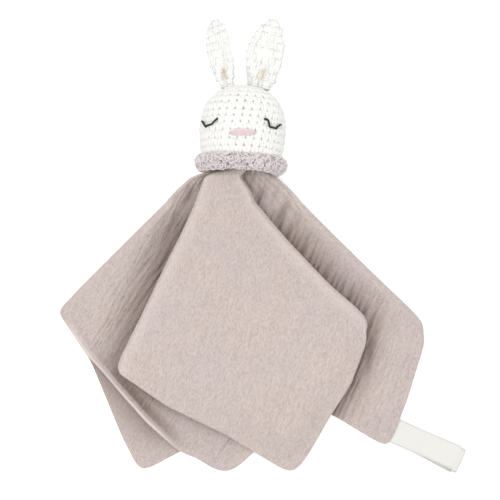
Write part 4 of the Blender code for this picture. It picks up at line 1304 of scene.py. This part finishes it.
def curvePoints(controls, count):
    # a quadratic curve through three controls
    t = np.linspace(0.0, 1.0, count)[:, None]
    a, b, c = (np.asarray(p, float) for p in controls)
    middle = b * 2 - (a + c) / 2
    return a * (1 - t) ** 2 + middle * 2 * t * (1 - t) + c * t ** 2


# The repeated shapes, one pitch wide and one high, with few faces each

unitShapes = {
    "leg": [(0.08, -0.24, -0.10), (0.24, 0.16, 0.02), (0.27, 0.60, -0.10)],
    "legRadii": [0.22, 0.29, 0.31, 0.30, 0.24],
    "bar": [(-0.56, -0.36, -0.16), (0.0, -0.40, -0.04), (0.56, -0.36, -0.16)],
    "barRadii": [0.20, 0.26, 0.26, 0.26, 0.20],
    "hair": [(0, 0, -0.05), (0.12, 0.05, 0.5), (0.42, -0.05, 0.85)],
    "hairRadii": [0.022, 0.02, 0.016, 0.008],
    "archWide": 0.5,
    "archHigh": 0.62,
    "archBend": 0.12,
}


def makeUnits():
    shape = unitShapes
    strands = [tubeMesh(curvePoints(np.array(shape["leg"]) * (side, 1, 1), 5), shape["legRadii"], 6, 1.8)
               for side in (1, -1)]
    strands.append(tubeMesh(curvePoints(shape["bar"], 5), shape["barRadii"], 5, 1.8))
    rib = [(0.0, math.sin(turn), math.cos(turn)) for turn in np.radians(np.linspace(-160, 160, 10))]
    swell = 1.0 + 0.10 * np.sin(np.arange(10) * 2.1)
    wide, bend, high = (shape[key] for key in ("archWide", "archBend", "archHigh"))
    arch = [(math.cos(a) * wide, bend * math.sin(2 * a), math.sin(a) * high)
            for a in np.radians(np.linspace(-15, 195, 7))]
    hair = tubeMesh(curvePoints(shape["hair"], 4), shape["hairRadii"], 3, 1.0)
    return {name: yarnPiece(name + "Unit", parts) for name, parts in (
        ("stitch", strands), ("rib", [tubeMesh(rib, 0.30 * swell, 6, 9.0)]),
        ("curl", [tubeMesh(arch, 0.20, 4, 2.0)]), ("fibre", [hair]))}


units = makeUnits()


# The head

headAxes = [Vector(joints[name]["axis"]).normalized() for name in ("neck_nod", "neck_turn", "neck_tilt")]
headFrame = Matrix.Translation(neckPoint) @ Matrix(headAxes).transposed().to_4x4()
headTurn = np.array(headFrame.to_3x3())
headPlace = np.array(neckPoint)


def onHead(points):
    return np.asarray(points, float) @ headTurn.T + headPlace


def around(angle):
    # the directions out and across, at an angle round the neck's axis
    return (np.array([math.sin(angle), 0.0, math.cos(angle)]),
            np.array([math.cos(angle), 0.0, -math.sin(angle)]))


def lifted(direction, reach, height):
    # a place this far out that way and this high up the neck's axis
    return direction * reach + np.array([0.0, height, 0.0])


head = {
    "radius": 0.0283,
    "middle": 0.0280,
    "top": 0.0580,
    "bottom": 0.0108,
    "bottomRadius": 0.0262,
    "power": 2.35,
    "baseSink": 0.0015,
    "stitchSink": 0.0007,
    "pitch": 0.0050,
    "deepness": 0.0036,
    "perRound": 32,
    "gapRows": [0.0129, 0.0177, 0.0226, 0.0280, 0.0331, 0.0374, 0.0419, 0.0470],
    "gapAbove": 0.0016,
    "drift": 0.15,
    "fill": 0.9,
    "fullHeight": 0.0118,     # where the side starts to draw in towards the neck
    "neckRadius": 0.0125,
    "neckRise": 0.001,
    "baseRise": 0.0025,
    "wallTurns": 72,
    "wallRows": 40,
    "topGap": 0.0010,
    "narrowest": 0.0055,      # a stitch's least width near the crown
    "fewest": 5,
    "overlap": 1.02,
    "laid": (0.07, 0.06, 11),      # how the stitches wobble and vary, and their seed
    "fillGap": 0.0048,
    "fillDent": 0.03,
}


def headRadius(height):
    rise = min(1.0, abs(height - head["middle"]) / (head["top"] - head["middle"]))
    if height >= head["middle"]:
        return head["radius"] * (1.0 - rise ** head["power"]) ** (1.0 / head["power"])
    drop = (head["middle"] - height) / (head["middle"] - head["fullHeight"])
    return head["radius"] - (head["radius"] - head["bottomRadius"]) * drop ** 2


def headProfile():
    # radius and height up the head's side, closely spaced, with the length along it
    low = [(headRadius(h), h) for h in np.linspace(head["bottom"], head["middle"], 40)]
    power = 2.0 / head["power"]
    half = head["top"] - head["middle"]
    high = [(head["radius"] * max(math.sin(a), 0.0) ** power,
             head["middle"] + half * math.cos(a) ** power) for a in np.linspace(math.pi / 2, 0.0, 161)[1:]]
    line = np.array(low + high)
    return line, lengthAlong(line)


def makeHead():
    line, length = headProfile()
    # the plain wall under the stitches, closed below round the neck, painted darker as shade in the gaps
    way = np.gradient(line, length, axis=0)
    sunk = line - np.stack([way[:, 1], -way[:, 0]], 1) * head["baseSink"]
    profile = [(head["neckRadius"], head["bottom"] + head["neckRise"]),
               *sampled(np.linspace(0.0, length[-1], head["wallRows"])[:-1], length, sunk)]
    turns = head["wallTurns"]
    points = [lifted(around(math.tau * slot / turns)[0], radius, height)
              for radius, height in profile for slot in range(turns)]
    points += [(0.0, head["top"] - head["baseSink"], 0.0), (0.0, head["bottom"] + head["baseRise"], 0.0)]
    base = meshPiece("head_wall", onHead(points), cappedFaces(len(profile), turns), yarns["creamGapShade"])
    # rounds of stitches from the neck up, with fewer stitches in each near the crown
    rounds = [float(np.interp(height, line[:, 1], length)) - head["gapAbove"]
              for height in head["gapRows"]]
    while rounds[-1] + head["pitch"] < length[-1] - head["topGap"]:
        rounds.append(rounds[-1] + head["pitch"])
    drift = 0.0
    spots = []
    for s, following in zip(rounds, rounds[1:] + [rounds[-1] + head["pitch"]]):
        radius, height = sampled(s, length, line)
        tangent = normalized(sampled(s, length, way))
        count = min(head["perRound"], max(
            head["fewest"], int(round(math.tau * radius / head["narrowest"] / 2)) * 2))
        drift += head["drift"]
        size = (math.tau * radius / count, (following - s) * head["overlap"], head["deepness"])
        for slot in range(count):
            ring, side = around(math.tau * (slot + drift + 0.5) / count)
            normal = lifted(ring, tangent[1], -tangent[0])
            spots.append((lifted(ring, radius, height) - normal * head["stitchSink"], side,
                          lifted(ring, *tangent), size))
    return base, layStitches("head_stitches", "stitch", spots, headTurn, headPlace, yarns["creamYarn"],
                             *head["laid"])


def makeStuffing():
    # a soft lump of loose fibre inside the wall
    bpy.ops.mesh.primitive_uv_sphere_add(segments=48, ring_count=24, radius=1.0)
    lump = bpy.context.object
    lump.name = "stuffing_lump"
    middle = (head["bottom"] + head["top"]) / 2
    half = (head["top"] - head["bottom"]) / 2 - head["fillGap"]
    for vertex in lump.data.vertices:
        x, y, z = vertex.co
        dent = 1.0 + head["fillDent"] * math.sin(5 * x + 2 * z) * math.cos(4 * y - z)
        radius = (head["radius"] - head["fillGap"]) * dent
        vertex.co = headFrame @ Vector((x * radius, middle + z * half * dent, -y * radius))
    lump.data.materials.append(yarns["stuffing"])
    smoothFaces(lump.data)
    return lump


# The face: each line of backstitches in places across and up the head's front
face = {
    "eyeRadius": 0.00082,
    "eyeTurn": 0.0021,
    "left": [(-0.0268, 0.0322), (-0.0241, 0.0278), (-0.0202, 0.0288), (-0.0158, 0.0328)],
    "right": [(0.0139, 0.0334), (0.0166, 0.0327), (0.0176, 0.0285), (0.0218, 0.0284), (0.0250, 0.0320)],
    "lift": 0.0016,
    "dip": -0.0007,
    "beyond": 0.04,
}
noseShape = {
    "middle": (0.0005, 0.0234),
    "slope": 0.055,
    "half": 0.0083,
    "rows": 6,
    "high": 0.0033,
    "thread": 0.00044,
    "taper": 0.10,
    "uneven": 0.0003,
    "bow": 0.0003,
    "endHigh": 0.62,
    "dip": 0.0001,
    "rise": 0.0014,
    "middleRise": 0.0003,
    "thin": 0.93,
    "thick": 1.08,
}


def onFace(across, height, lift):
    radius = headRadius(height) + lift
    return onHead([(across, height, math.sqrt(max(radius ** 2 - across ** 2, 1e-9)))])[0]


def makeEye(name, places):
    # each stitch is its own short thread that dips in at both its ends
    parts = []
    for first, second in zip(places, places[1:]):
        line = []
        for t in np.linspace(-face["beyond"], 1.0 + face["beyond"], 15):
            across, height = (a + (b - a) * t for a, b in zip(first, second))
            arch = 1.0 - (2 * min(max(t, 0.0), 1.0) - 1.0) ** 4
            line.append(onFace(across, height, face["dip"] + (face["lift"] - face["dip"]) * arch))
        parts += pliedThread(line, face["eyeRadius"], face["eyeTurn"], 6)
    return yarnPiece(name, parts, yarns["eyeThread"])


def makeNose():
    # long satin stitches side by side
    shape = noseShape
    rng = np.random.default_rng(5)
    middle = shape["middle"]
    parts = []
    for row in range(shape["rows"]):
        share = row / (shape["rows"] - 1) * 2 - 1
        more, slip = (rng.uniform(-shape["uneven"], shape["uneven"]) for _ in range(2))
        reach = shape["half"] * (1.0 - shape["taper"] * share ** 2) + more
        line = []
        for t in np.linspace(-1.0, 1.0, 17):
            bow = (1.0 - t * t) * shape["bow"]
            height = middle[1] + share * shape["high"] / 2 * (
                shape["endHigh"] + (1.0 - shape["endHigh"]) * (1 - t ** 4)) + bow
            rise = shape["rise"] + shape["middleRise"] * (1 - share * share)
            rise = shape["dip"] + rise * (1.0 - abs(t) ** 5)
            line.append(onFace(middle[0] + slip + t * reach, height + shape["slope"] * t * reach, rise))
        radius = shape["thread"] * rng.uniform(shape["thin"], shape["thick"])
        parts.append(tubeMesh(line, radius, 6, 9.0))
    return yarnPiece("nose_satin", parts, yarns["noseThread"])


# The collar: chunky ribs round the neck, with fluffy curls all over

collar = {
    "ring": 0.0236,
    "halfWidth": 0.0066,
    "halfHeight": 0.0054,
    "level": 0.0062,
    "coreSink": 0.0019,
    "coreTurns": 96,
    "coreSides": 20,
    "ribs": 44,
    "ribRadius": 0.0016,
    "ribWidth": 0.0062,
    "ribShare": 0.8,
    "ribSlip": 0.24,
    "ribLean": 0.10,
    "ribsLaid": (0.03, 0.05, 3),   # how they wobble and vary, and their seed
    "spread": (-125.0, 150.0),
    "fluffSink": 0.0005,
    "fluffGrowth": (0.7, 1.25),
    "fluffWander": (-0.08, 0.03),
    "betweenRibs": 0.15,
    "gapAngles": [-11.0, 43.0],
    "gapWide": 1.6,
    "gapShare": 0.85,
    "seed": 21,
    # piece, unit, how many, how large and how far they tilt
    "fluff": [("collar_curls", "curl", 2500, 0.0021, 0.25),
              ("collar_fibres", "fibre", 2600, 0.0022, 0.5)],
}


def collarSpot(ring, sink, bulge, a):
    # a place on the collar's own section, where it is cut at this direction
    return lifted(ring, collar["ring"] + (collar["halfWidth"] - sink) * bulge * math.cos(a),
                  collar["level"] + (collar["halfHeight"] - sink) * bulge * math.sin(a))


def makeCollar():
    rng = np.random.default_rng(collar["seed"])
    # the core that shows between the ribs, dark as painted shade
    turns, sides = collar["coreTurns"], collar["coreSides"]
    points = [collarSpot(around(math.tau * slot / turns)[0], collar["coreSink"], 1.0,
                         math.tau * step / sides) for slot in range(turns) for step in range(sides)]
    faces = ringFaces(turns, sides, closed=True)[:, [0, 3, 2, 1]]
    pieces = [meshPiece("collar_core", onHead(points), faces, yarns["lilacCoreShade"])]
    # ribs: each a fat strand round the outside of the ring
    spots = []
    inset = collar["ribRadius"] * collar["ribShare"]
    size = collar["ribWidth"], collar["halfHeight"] - inset, collar["halfWidth"] - inset
    for slot in range(collar["ribs"]):
        ring, side = around(math.tau * (slot + 0.5 + rng.uniform(-collar["ribSlip"], collar["ribSlip"]))
                            / collar["ribs"])
        lean = rng.uniform(-collar["ribLean"], collar["ribLean"])
        spots.append((lifted(ring, collar["ring"], collar["level"]), side, lifted(side, lean, 1.0), size))
    pieces.append(layStitches("collar_ribs", "rib", spots, headTurn, headPlace, yarns["lilacYarn"],
                              *collar["ribsLaid"]))
    # curls and fibres, spread over the ribs' outer side
    for name, unit, count, size, tilt in collar["fluff"]:
        spots = []
        for _ in range(count):
            angle = rng.uniform(0.0, math.tau)
            a = math.radians(rng.uniform(*collar["spread"]))
            if any(abs((math.degrees(angle) - gap + 180.0) % 360.0 - 180.0) < collar["gapWide"]
                   for gap in collar["gapAngles"]) and rng.uniform() < collar["gapShare"]:
                continue
            phase = (angle / math.tau * collar["ribs"]) % 1.0
            bulge = (1.0 - collar["betweenRibs"] * abs(math.cos(phase * math.pi))
                     + rng.uniform(*collar["fluffWander"]))
            ring, side = around(angle)
            normal = lifted(ring, math.cos(a), math.sin(a))
            roll = rng.uniform(0.0, math.tau)
            other = np.cross(normal, side)
            along = side * math.cos(roll) + other * math.sin(roll)
            normal = normal + (rng.uniform(-tilt, tilt) * side + rng.uniform(-tilt, tilt) * other)
            spot = collarSpot(ring, collar["fluffSink"], bulge, a)
            spots.append((spot, along, np.cross(normal, along),
                          [size * rng.uniform(*collar["fluffGrowth"])] * 3))
        pieces.append(layStitches(name, unit, spots, headTurn, headPlace, yarns["lilacFluff"]))
    return pieces


# The ears: leaves of crochet, gathered at the foot and twisted as they rise

ears = {
    "left": {"side": -1, "length": 0.0455, "lean": 0.0006, "foot": 0.0034, "twist": -32.0, "bow": 0.0004,
             "widths": [
        (0.0, 0.0040), (0.10, 0.0056), (0.25, 0.0076), (0.38, 0.0087), (0.52, 0.0092), (0.67, 0.0092),
        (0.76, 0.0086), (0.89, 0.0064), (0.96, 0.0040), (1.0, 0.0020)]},
    "right": {"side": 1, "length": 0.0468, "lean": -0.0024, "foot": 0.0056, "twist": -8.0,
              "bow": -0.0008, "widths": [
        (0.0, 0.0072), (0.05, 0.0085), (0.17, 0.0103), (0.30, 0.0117), (0.42, 0.0126), (0.54, 0.0122),
        (0.62, 0.0115), (0.71, 0.0103), (0.86, 0.0074), (0.95, 0.0044), (1.0, 0.0022)]},
}
earShape = {
    "deepness": 0.0015,
    "start": -0.0010,
    "wallSink": 0.0006,
    "stitchSink": 0.0008,
    # the painted shade in the ear's pinch: where, how wide, how strong and how it rises and falls
    "creaseShadeAt": (0.08, 0.30),
    "creaseShadeWide": 0.0013,
    "thickness": 0.0054,
    "baseThickness": 0.0070,
    "cup": 0.0022,
    "cupShare": 0.3,
    "creaseDepth": 0.0032,
    "creaseWidth": 0.0024,
    "creaseShare": 0.52,
    "twistShare": 0.45,
    "droop": -6.0,
    "rowPitch": 0.0047,
    "stitchWidth": 0.0046,
    "overlap": 1.05,
    "laid": (0.08, 0.08),
    "seed": 17,
    "wallFrom": 0.015,
    "wallTo": 0.985,
    "wallRows": 44,
    "wallSides": 56,
    "tipReach": 0.6,
    "rowMiddle": 0.45,
    "fine": 240,              # how closely a section is measured to space its stitches
    "beside": 3,
    "step": 0.02,
    "leastWidth": 0.0004,
    "leastThick": 0.0003,
    "creaseShadeShare": 0.75,
    "creaseShadeRise": 0.05,
    "creaseShadeFall": 0.08,
    "creaseShadeBack": -0.0005,
}


def earFrame(name):
    # the ear's own directions and its foot, from its joint
    joint = joints[name + "_ear_flop"]
    across = Vector(joint["axis"]).normalized()
    front = headAxes[2]
    turn = Matrix((across, front.cross(across).normalized(), front)).transposed()
    turn = turn @ Matrix.Rotation(math.radians(earShape["droop"]), 3, "X")
    return np.array(turn), np.array(joint["pos_m"])


def earRing(ear, station, sink, count):
    # one cross-section of the ear, in the ear's own frame
    shape = earShape
    stops, halves = zip(*ear["widths"])
    halfWidth = max(float(np.interp(station, stops, halves)) - sink, shape["leastWidth"])
    gather = (1.0 - station) ** 4
    thick = shape["thickness"] + (shape["baseThickness"] - shape["thickness"]) * gather
    halfThick = max(thick / 2 * (1.0 - station ** 7) ** 0.5 - sink, shape["leastThick"])
    crease = shape["creaseDepth"] * max(0.0, 1.0 - station / shape["creaseShare"]) ** 0.7
    turns = np.arange(count) / count * math.tau
    across = np.cos(turns) * halfWidth
    rise = np.sin(turns) * halfThick
    rise = rise - np.where(rise > 0, crease * np.exp(-(across / shape["creaseWidth"]) ** 2), 0.0)
    cup = shape["cup"] * (across / max(halves)) ** 2 * min(1.0, station / shape["cupShare"])
    along = shape["start"] + station * (ear["length"] - shape["start"])
    across = across * ear["side"] + ear["bow"] * math.sin(math.pi * station) + ear["lean"] * station
    share = min(1.0, along / (ear["length"] * shape["twistShare"]))
    angle = math.radians(ear["twist"]) * share
    x = across * math.cos(angle) + (rise + cup) * math.sin(angle)
    z = -across * math.sin(angle) + (rise + cup) * math.cos(angle)
    return np.stack([x, np.full(count, along), z], 1)


def makeEar(name, ear):
    turn, foot = earFrame(name)
    shape = earShape
    count = shape["wallSides"]
    stations = np.linspace(shape["wallFrom"], shape["wallTo"], shape["wallRows"])
    rings = [earRing(ear, station, shape["wallSink"], count) for station in (0.0, *stations)]
    tip = rings[-1].mean(0) + (rings[-1].mean(0) - rings[-2].mean(0)) * shape["tipReach"]
    points = np.concatenate(rings + [[tip], [rings[0].mean(0)]]) @ turn.T + foot
    faces = cappedFaces(len(rings), count)
    if ear["side"] > 0:
        faces = [face[::-1] for face in faces]
    wall = meshPiece(name + "_ear_wall", points, faces, yarns["creamEar"])
    # rows of stitches, each set half a stitch on from the row below
    spots = []
    rows = int(ear["length"] / shape["rowPitch"])
    fine, beside = shape["fine"], shape["beside"]
    for row in range(rows):
        station = (row + shape["rowMiddle"]) / rows
        ring, above, below = (
            earRing(ear, min(max(station + step, 0.0), 0.99), shape["stitchSink"], fine)
            for step in (0.0, shape["step"], -shape["step"]))
        length = lengthAlong(np.concatenate([ring, ring[:1]]))
        across = max(4, int(round(length[-1] / shape["stitchWidth"])))
        size = (length[-1] / across, shape["rowPitch"] * shape["overlap"], shape["deepness"])
        for slot in range(across):
            at = (slot + 0.5 * (row % 2)) / across * length[-1] % length[-1]
            index = int(round(np.interp(at, length, np.arange(fine + 1)))) % fine
            side = ring[(index + beside) % fine] - ring[(index - beside) % fine]
            up = above[index] - below[index]
            if np.cross(side, up) @ (ring[index] - ring.mean(0)) < 0:
                side = -side
            spots.append((ring[index], side, up, size))
    stitches = layStitches(name + "_ear_stitches", "stitch", spots, turn, foot, yarns["creamEar"],
                           *shape["laid"], shape["seed"] + ear["side"])
    # painted shade, a warm tan, in the pinch at the ear's foot
    low, high = shape["creaseShadeAt"]
    for piece in (wall, stitches):
        local = (readPoints(piece.data) - foot) @ turn
        station = local[:, 1] / ear["length"]
        along = smoothStep((station - low) / shape["creaseShadeRise"]) * (
            1.0 - smoothStep((station - high + shape["creaseShadeFall"]) / shape["creaseShadeFall"]))
        tan = shape["creaseShadeShare"] * along * bell(local[:, 0] / shape["creaseShadeWide"])
        if "tint" in piece.data.attributes:
            piece.data.attributes.remove(piece.data.attributes["tint"])
        setValues(piece.data, "tint", tan * (local[:, 2] > shape["creaseShadeBack"]))
    return wall, stitches


# The sewing threads: the radius of each and how long a turn of its plies is, then
# how the seams of the ears and the collar and the wound thread run
seamShape = {
    "ear": (0.0006, 0.0024),
    "collar": (0.0006, 0.0022),
    "tie": (0.0007, 0.0024),
    "tape": (0.00045, 0.0018),
    "earDrop": -0.0014,
    "earWave": 0.0003,
    "earLift": 0.0004,
    "earWaves": 3000,
    "collarRadius": 0.0246,
    "collarHeight": 0.0106,
    "collarWave": 0.0004,
    "collarWaves": 36,
    "collarSteps": 240,
    "tieRadius": 0.0142,
    "tieHeight": 0.0040,
    "tiePitch": 0.0019,
    "tieTurns": 3,
    "tieSteps": 48,
}


def sewnThread(name, line, kind):
    return yarnPiece(name, pliedThread(line, *seamShape[kind]), yarns["sewingThread"])


def makeSeams():
    # the thread at each ear's foot, round the neck opening, and round the gathered cloth
    shape = seamShape
    seams = {}
    for name, ear in ears.items():
        turn, foot = earFrame(name)
        line = []
        for x in np.linspace(-ear["foot"], ear["foot"], 60):
            wave = x * shape["earWaves"]
            line.append(foot + turn @ np.array([x, shape["earDrop"] + shape["earWave"] * math.sin(wave),
                                                shape["earLift"] * math.cos(wave)]))
        seams[name] = sewnThread(name + "_ear_stitching", line, "ear")
    line = []
    for step in range(shape["collarSteps"] + 1):
        angle = math.tau * step / shape["collarSteps"]
        wave = shape["collarWave"] * math.sin(angle * shape["collarWaves"])
        line.append(lifted(around(angle)[0], shape["collarRadius"], shape["collarHeight"] + wave))
    seams["collar"] = sewnThread("collar_stitching", onHead(line), "collar")
    line = [lifted(around(math.tau * step / shape["tieSteps"])[0], shape["tieRadius"],
                   shape["tieHeight"] + shape["tiePitch"] * step / shape["tieSteps"])
            for step in range(shape["tieTurns"] * shape["tieSteps"] + 1)]
    seams["tie"] = sewnThread("gathering_thread", onHead(line), "tie")
    return seams


# The tape: a folded loop whose ends lie in the hem

tape = {
    "width": 0.0170,
    "reach": 0.0492,
    "tuck": 0.0050,
    "thick": 0.0007,
    "loopHeight": 0.0050,
    "shear": 0.0026,
    "aside": -0.0026,
    "colour": (0.815, 0.803, 0.765),
    "shade": (0.745, 0.727, 0.675),
    # painted shade where the lower layer shows beside the upper layer's edge
    "underShade": (0.60, 0.56, 0.36),
    "twill": 0.0011,
    "low": 0.0004,            # the lower side's height, and the bend at the loop's end
    "tuckRise": 0.0006,
    "bend": 0.0034,
    "bendGap": 0.0042,
    "shearFrom": 0.2,
    "upper": 0.0016,          # the upper side's height at the hem
    "upperWave": 0.0005,
    "upperWaves": 9,
    "upperEase": 4,
    "wave": 0.0003,
    "wavesAlong": 190,
    "wavesAcross": 260,
    "upperPower": 0.7,
    "steps": (34, 12, 38),
    "bendAngles": (-75, 88),
    "crossShare": 0.4,
    "grainScale": 700.0,
    "grainLevel": 0.4,
    "grainGain": 1.1,
    "ribDepth": 0.00004,
    "grainDepth": 0.00010,
    "underShadeShare": 0.7,
    "columns": 9,
    "seamEnd": 0.001,
    "seamIn": -0.0008,
    "seamHeight": 0.0018,
}


def makeTapeMaterial():
    material, tree, shader = startMaterial("cottonTape", 0.9, sheen=0.15, specular=0.2)
    parts = splitVector(tree, ownUv(tree, "yarn"))
    turns = math.tau / tape["twill"]
    rib = mathNode(tree, "SINE", times(tree, plus(tree, parts[0], parts[1]), turns))
    cross = mathNode(tree, "SINE", times(tree, minus(tree, parts[0], parts[1]), turns * 2))
    height = plus(tree, rib, times(tree, cross, tape["crossShare"]))
    grain = noiseNode(tree, objectPlace(tree), tape["grainScale"], 3.0, 0.6)
    shaded = times(tree, minus(tree, grain, tape["grainLevel"]), tape["grainGain"])
    colour = mixColours(tree, withinOne(tree, shaded), tape["colour"], tape["shade"])
    # painted shade on the lower layer's edge
    colour = mixColours(tree, ownValue(tree, "tint"), colour, tape["underShade"])
    tree.links.new(colour, shader.inputs["Base Color"])
    bumpChain(tree, shader, [(height, tape["ribDepth"]), (grain, tape["grainDepth"])])
    return material


def makeTape():
    joint = joints["tag_flap"]
    side = normalized(-np.array(joint["axis"], float))
    out = np.cross(side, (0.0, 0.0, 1.0))
    origin = np.array(joint["pos_m"], float) + side * tape["aside"]
    end, tuck, low, bend, shear = (tape[key] for key in ("reach", "tuck", "low", "bend", "shear"))
    high, upper = tape["loopHeight"], tape["upper"]
    below, bent, above = tape["steps"]
    # the way along the tape: out below, round the end, and back above
    path, slide = [], []
    for x in np.linspace(-tuck, end - bend, below):
        path.append((x, low + tape["tuckRise"] * max(0.0, -x / tuck)))
        slide.append(-shear * smoothStep((x / end - tape["shearFrom"]) / (1.0 - tape["shearFrom"])))
    for angle in np.radians(np.linspace(*tape["bendAngles"], bent)):
        path.append((end - bend + bend * math.cos(angle), low + high / 2 + (high / 2) * math.sin(angle)))
        slide.append(-shear * 0.5)
    for x in np.linspace(end - tape["bendGap"], -tuck, above):
        t = max(0.0, x / end)
        wave = tape["upperWave"] * math.sin(t * tape["upperWaves"]) * min(1.0, tape["upperEase"] * t)
        path.append((x, upper + (high - upper + low) * (t * t * (3 - 2 * t)) ** tape["upperPower"] + wave))
        slide.append(0.0)
    path = np.array(path)
    way = normalized(np.gradient(path, axis=0))
    normal = np.stack([-way[:, 1], way[:, 0]], 1)
    length = lengthAlong(path)
    rows, columns = len(path), tape["columns"]
    points, uvs, tints = [], [], []
    for sign in (1, -1):
        for index in range(rows):
            for column in range(columns):
                # painted shade on the lower layer's first column, where it shows under the upper layer
                underShade = min(1.0, max(0.0, -slide[index] / shear))
                tints.append(tape["underShadeShare"] * (column == 0) * underShade)
                across = (column / (columns - 1) - 0.5) * tape["width"]
                wave = tape["wave"] * math.sin(
                    length[index] * tape["wavesAlong"] + across * tape["wavesAcross"])
                spot = path[index] + normal[index] * (sign * tape["thick"] / 2 + wave)
                points.append(origin + out * spot[0] + side * (across + slide[index])
                              + np.array([0.0, 0.0, spot[1] - origin[2]]))
                uvs.append((length[index], across))
    layer = rows * columns
    grid = np.arange(layer).reshape(rows, columns)
    quads = np.stack([part.ravel() for part in (
        grid[:-1, :-1], grid[1:, :-1], grid[1:, 1:], grid[:-1, 1:])], 1)
    faces = [*quads, *(quads[:, ::-1] + layer)]
    for edge, flip in ((grid[:, 0], False), (grid[:, -1], True), (grid[0], True), (grid[-1], False)):
        quads = np.stack([edge[:-1], edge[:-1] + layer, edge[1:] + layer, edge[1:]], 1)
        faces += [*(quads[:, ::-1] if flip else quads)]
    points = np.array(points)
    points[:, 2] = np.maximum(points[:, 2], 0.00002)
    piece = meshPiece("tape_loop", points, faces, makeTapeMaterial(), uvs)
    setValues(piece.data, "tint", tints)
    outward = bmesh.new()
    outward.from_mesh(piece.data)
    bmesh.ops.recalc_face_normals(outward, faces=outward.faces)
    outward.to_mesh(piece.data)
    outward.free()
    reach = tape["width"] / 2 - tape["seamEnd"]
    lift = np.array([0.0, 0.0, tape["seamHeight"] - origin[2]])
    line = [origin + side * across + out * tape["seamIn"] + lift
            for across in np.linspace(-reach, reach, 40)]
    return piece, sewnThread("tape_stitching", line, "tape"), origin, out


headWall, headStitches = makeHead()
lump = makeStuffing()
eyes = {side: makeEye(side + "_eye_thread", face[side]) for side in ("left", "right")}
noseThread = makeNose()
collarPieces = makeCollar()
earPieces = {name: makeEar(name, ear) for name, ear in ears.items()}
seams = makeSeams()
tapeLoop, tapeSeam, tapeOrigin, tapeOut = makeTape()
for unit in units.values():
    bpy.data.objects.remove(unit)
print("soft pieces made")


# What each piece rides on, and the node that it stands for

def rideOn(piece, body, node):
    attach(piece, body)
    if node:
        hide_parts(node)


def blendOver(piece, node):
    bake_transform(piece)
    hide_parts(node)


for piece, node in ((clothFace, "muslin_face"), (clothLining, "muslin_lining")):
    blendOver(piece, node)
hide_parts("neck_gather")
rideOn(headWall, "head", "head_cover")
rideOn(headStitches, "head", None)
rideOn(lump, "head", "head_filling")
for side, eye in eyes.items():
    rideOn(eye, "head", side + "_eye")
rideOn(noseThread, "head", "nose")
for piece, node in zip(collarPieces, ("collar", None, None, None)):
    rideOn(piece, "head", node)
for name, (wall, stitches) in earPieces.items():
    rideOn(wall, "ear_" + name, name + "_ear")
    rideOn(stitches, "ear_" + name, None)
    rideOn(seams[name], "head", name + "_ear_seam")
rideOn(seams["collar"], "head", "collar_seam")
rideOn(seams["tie"], "tie", "neck_tie")
blendOver(tapeLoop,
          "tag_loop")
rideOn(tapeSeam, "blanket", "tag_seam")


# Floor, light and camera

studio = {
    "aim": (0.0063, neckPoint.y - 0.0503),
    "height": 1.0,
    "lens": 105.8,
    "sensor": 36.0,
    "world": 0.75,
    "floorGlow": 0.46,
    "floorReach": 3.0,
    "floorHeight": -0.0004,
    "floorColour": (0.86, 0.86, 0.86, 1.0),
    "lamps": [
        ("keyLamp", (-0.30, 0.35, 1.25), 0.9, 5.6, (0.0, 0.05, 0.0)),
        ("fillLamp", (0.45, -0.15, 1.3), 1.1, 3.3, (0.0, 0.05, 0.0)),
    ],
}


def makeStudio():
    material, tree, shader = startMaterial("whitePaper", 0.9, specular=0.0)
    shader.inputs["Base Color"].default_value = studio["floorColour"]
    rays = tree.nodes.new("ShaderNodeLightPath")
    glow = tree.nodes.new("ShaderNodeEmission")
    glow.inputs["Strength"].default_value = studio["floorGlow"]
    joined = tree.nodes.new("ShaderNodeAddShader")
    switch = tree.nodes.new("ShaderNodeMixShader")
    wire(tree, (shader.outputs[0], joined.inputs[0]), (glow.outputs[0], joined.inputs[1]),
         (rays.outputs["Is Camera Ray"], switch.inputs[0]), (shader.outputs[0], switch.inputs[1]),
         (joined.outputs[0], switch.inputs[2]),
         (switch.outputs[0], tree.nodes["Material Output"].inputs["Surface"]))
    corners = [(x * studio["floorReach"], y * studio["floorReach"], studio["floorHeight"])
               for x, y in ((-1, -1), (1, -1), (1, 1), (-1, 1))]
    meshPiece("floor", corners, [(0, 1, 2, 3)], material)
    world = bpy.data.worlds.new("studio")
    bpy.context.scene.world = world
    world.use_nodes = True
    tree = world.node_tree
    back = tree.nodes["Background"]
    seen = tree.nodes.new("ShaderNodeLightPath").outputs["Is Camera Ray"]
    strength = plus(tree, times(tree, seen, 1.0 - studio["world"]), studio["world"])
    tree.links.new(strength, back.inputs["Strength"])
    back.inputs["Color"].default_value = (1.0, 1.0, 1.0, 1.0)
    for name, place, size, power, aim in studio["lamps"]:
        lamp = bpy.data.lights.new(name, "AREA")
        lamp.shape = "DISK"
        lamp.size = size
        lamp.energy = power
        item = newObject(name, lamp)
        item.location = place
        item.rotation_mode = "QUATERNION"
        item.rotation_quaternion = (Vector(aim) - Vector(place)).to_track_quat("-Z", "Y")
    optics = bpy.data.cameras.new("camera")
    optics.lens = studio["lens"]
    optics.sensor_width = studio["sensor"]
    camera = newObject("camera", optics)
    camera.location = (*studio["aim"], studio["height"])
    bpy.context.scene.camera = camera
    bpy.context.scene.view_settings.view_transform = "Standard"


makeStudio()
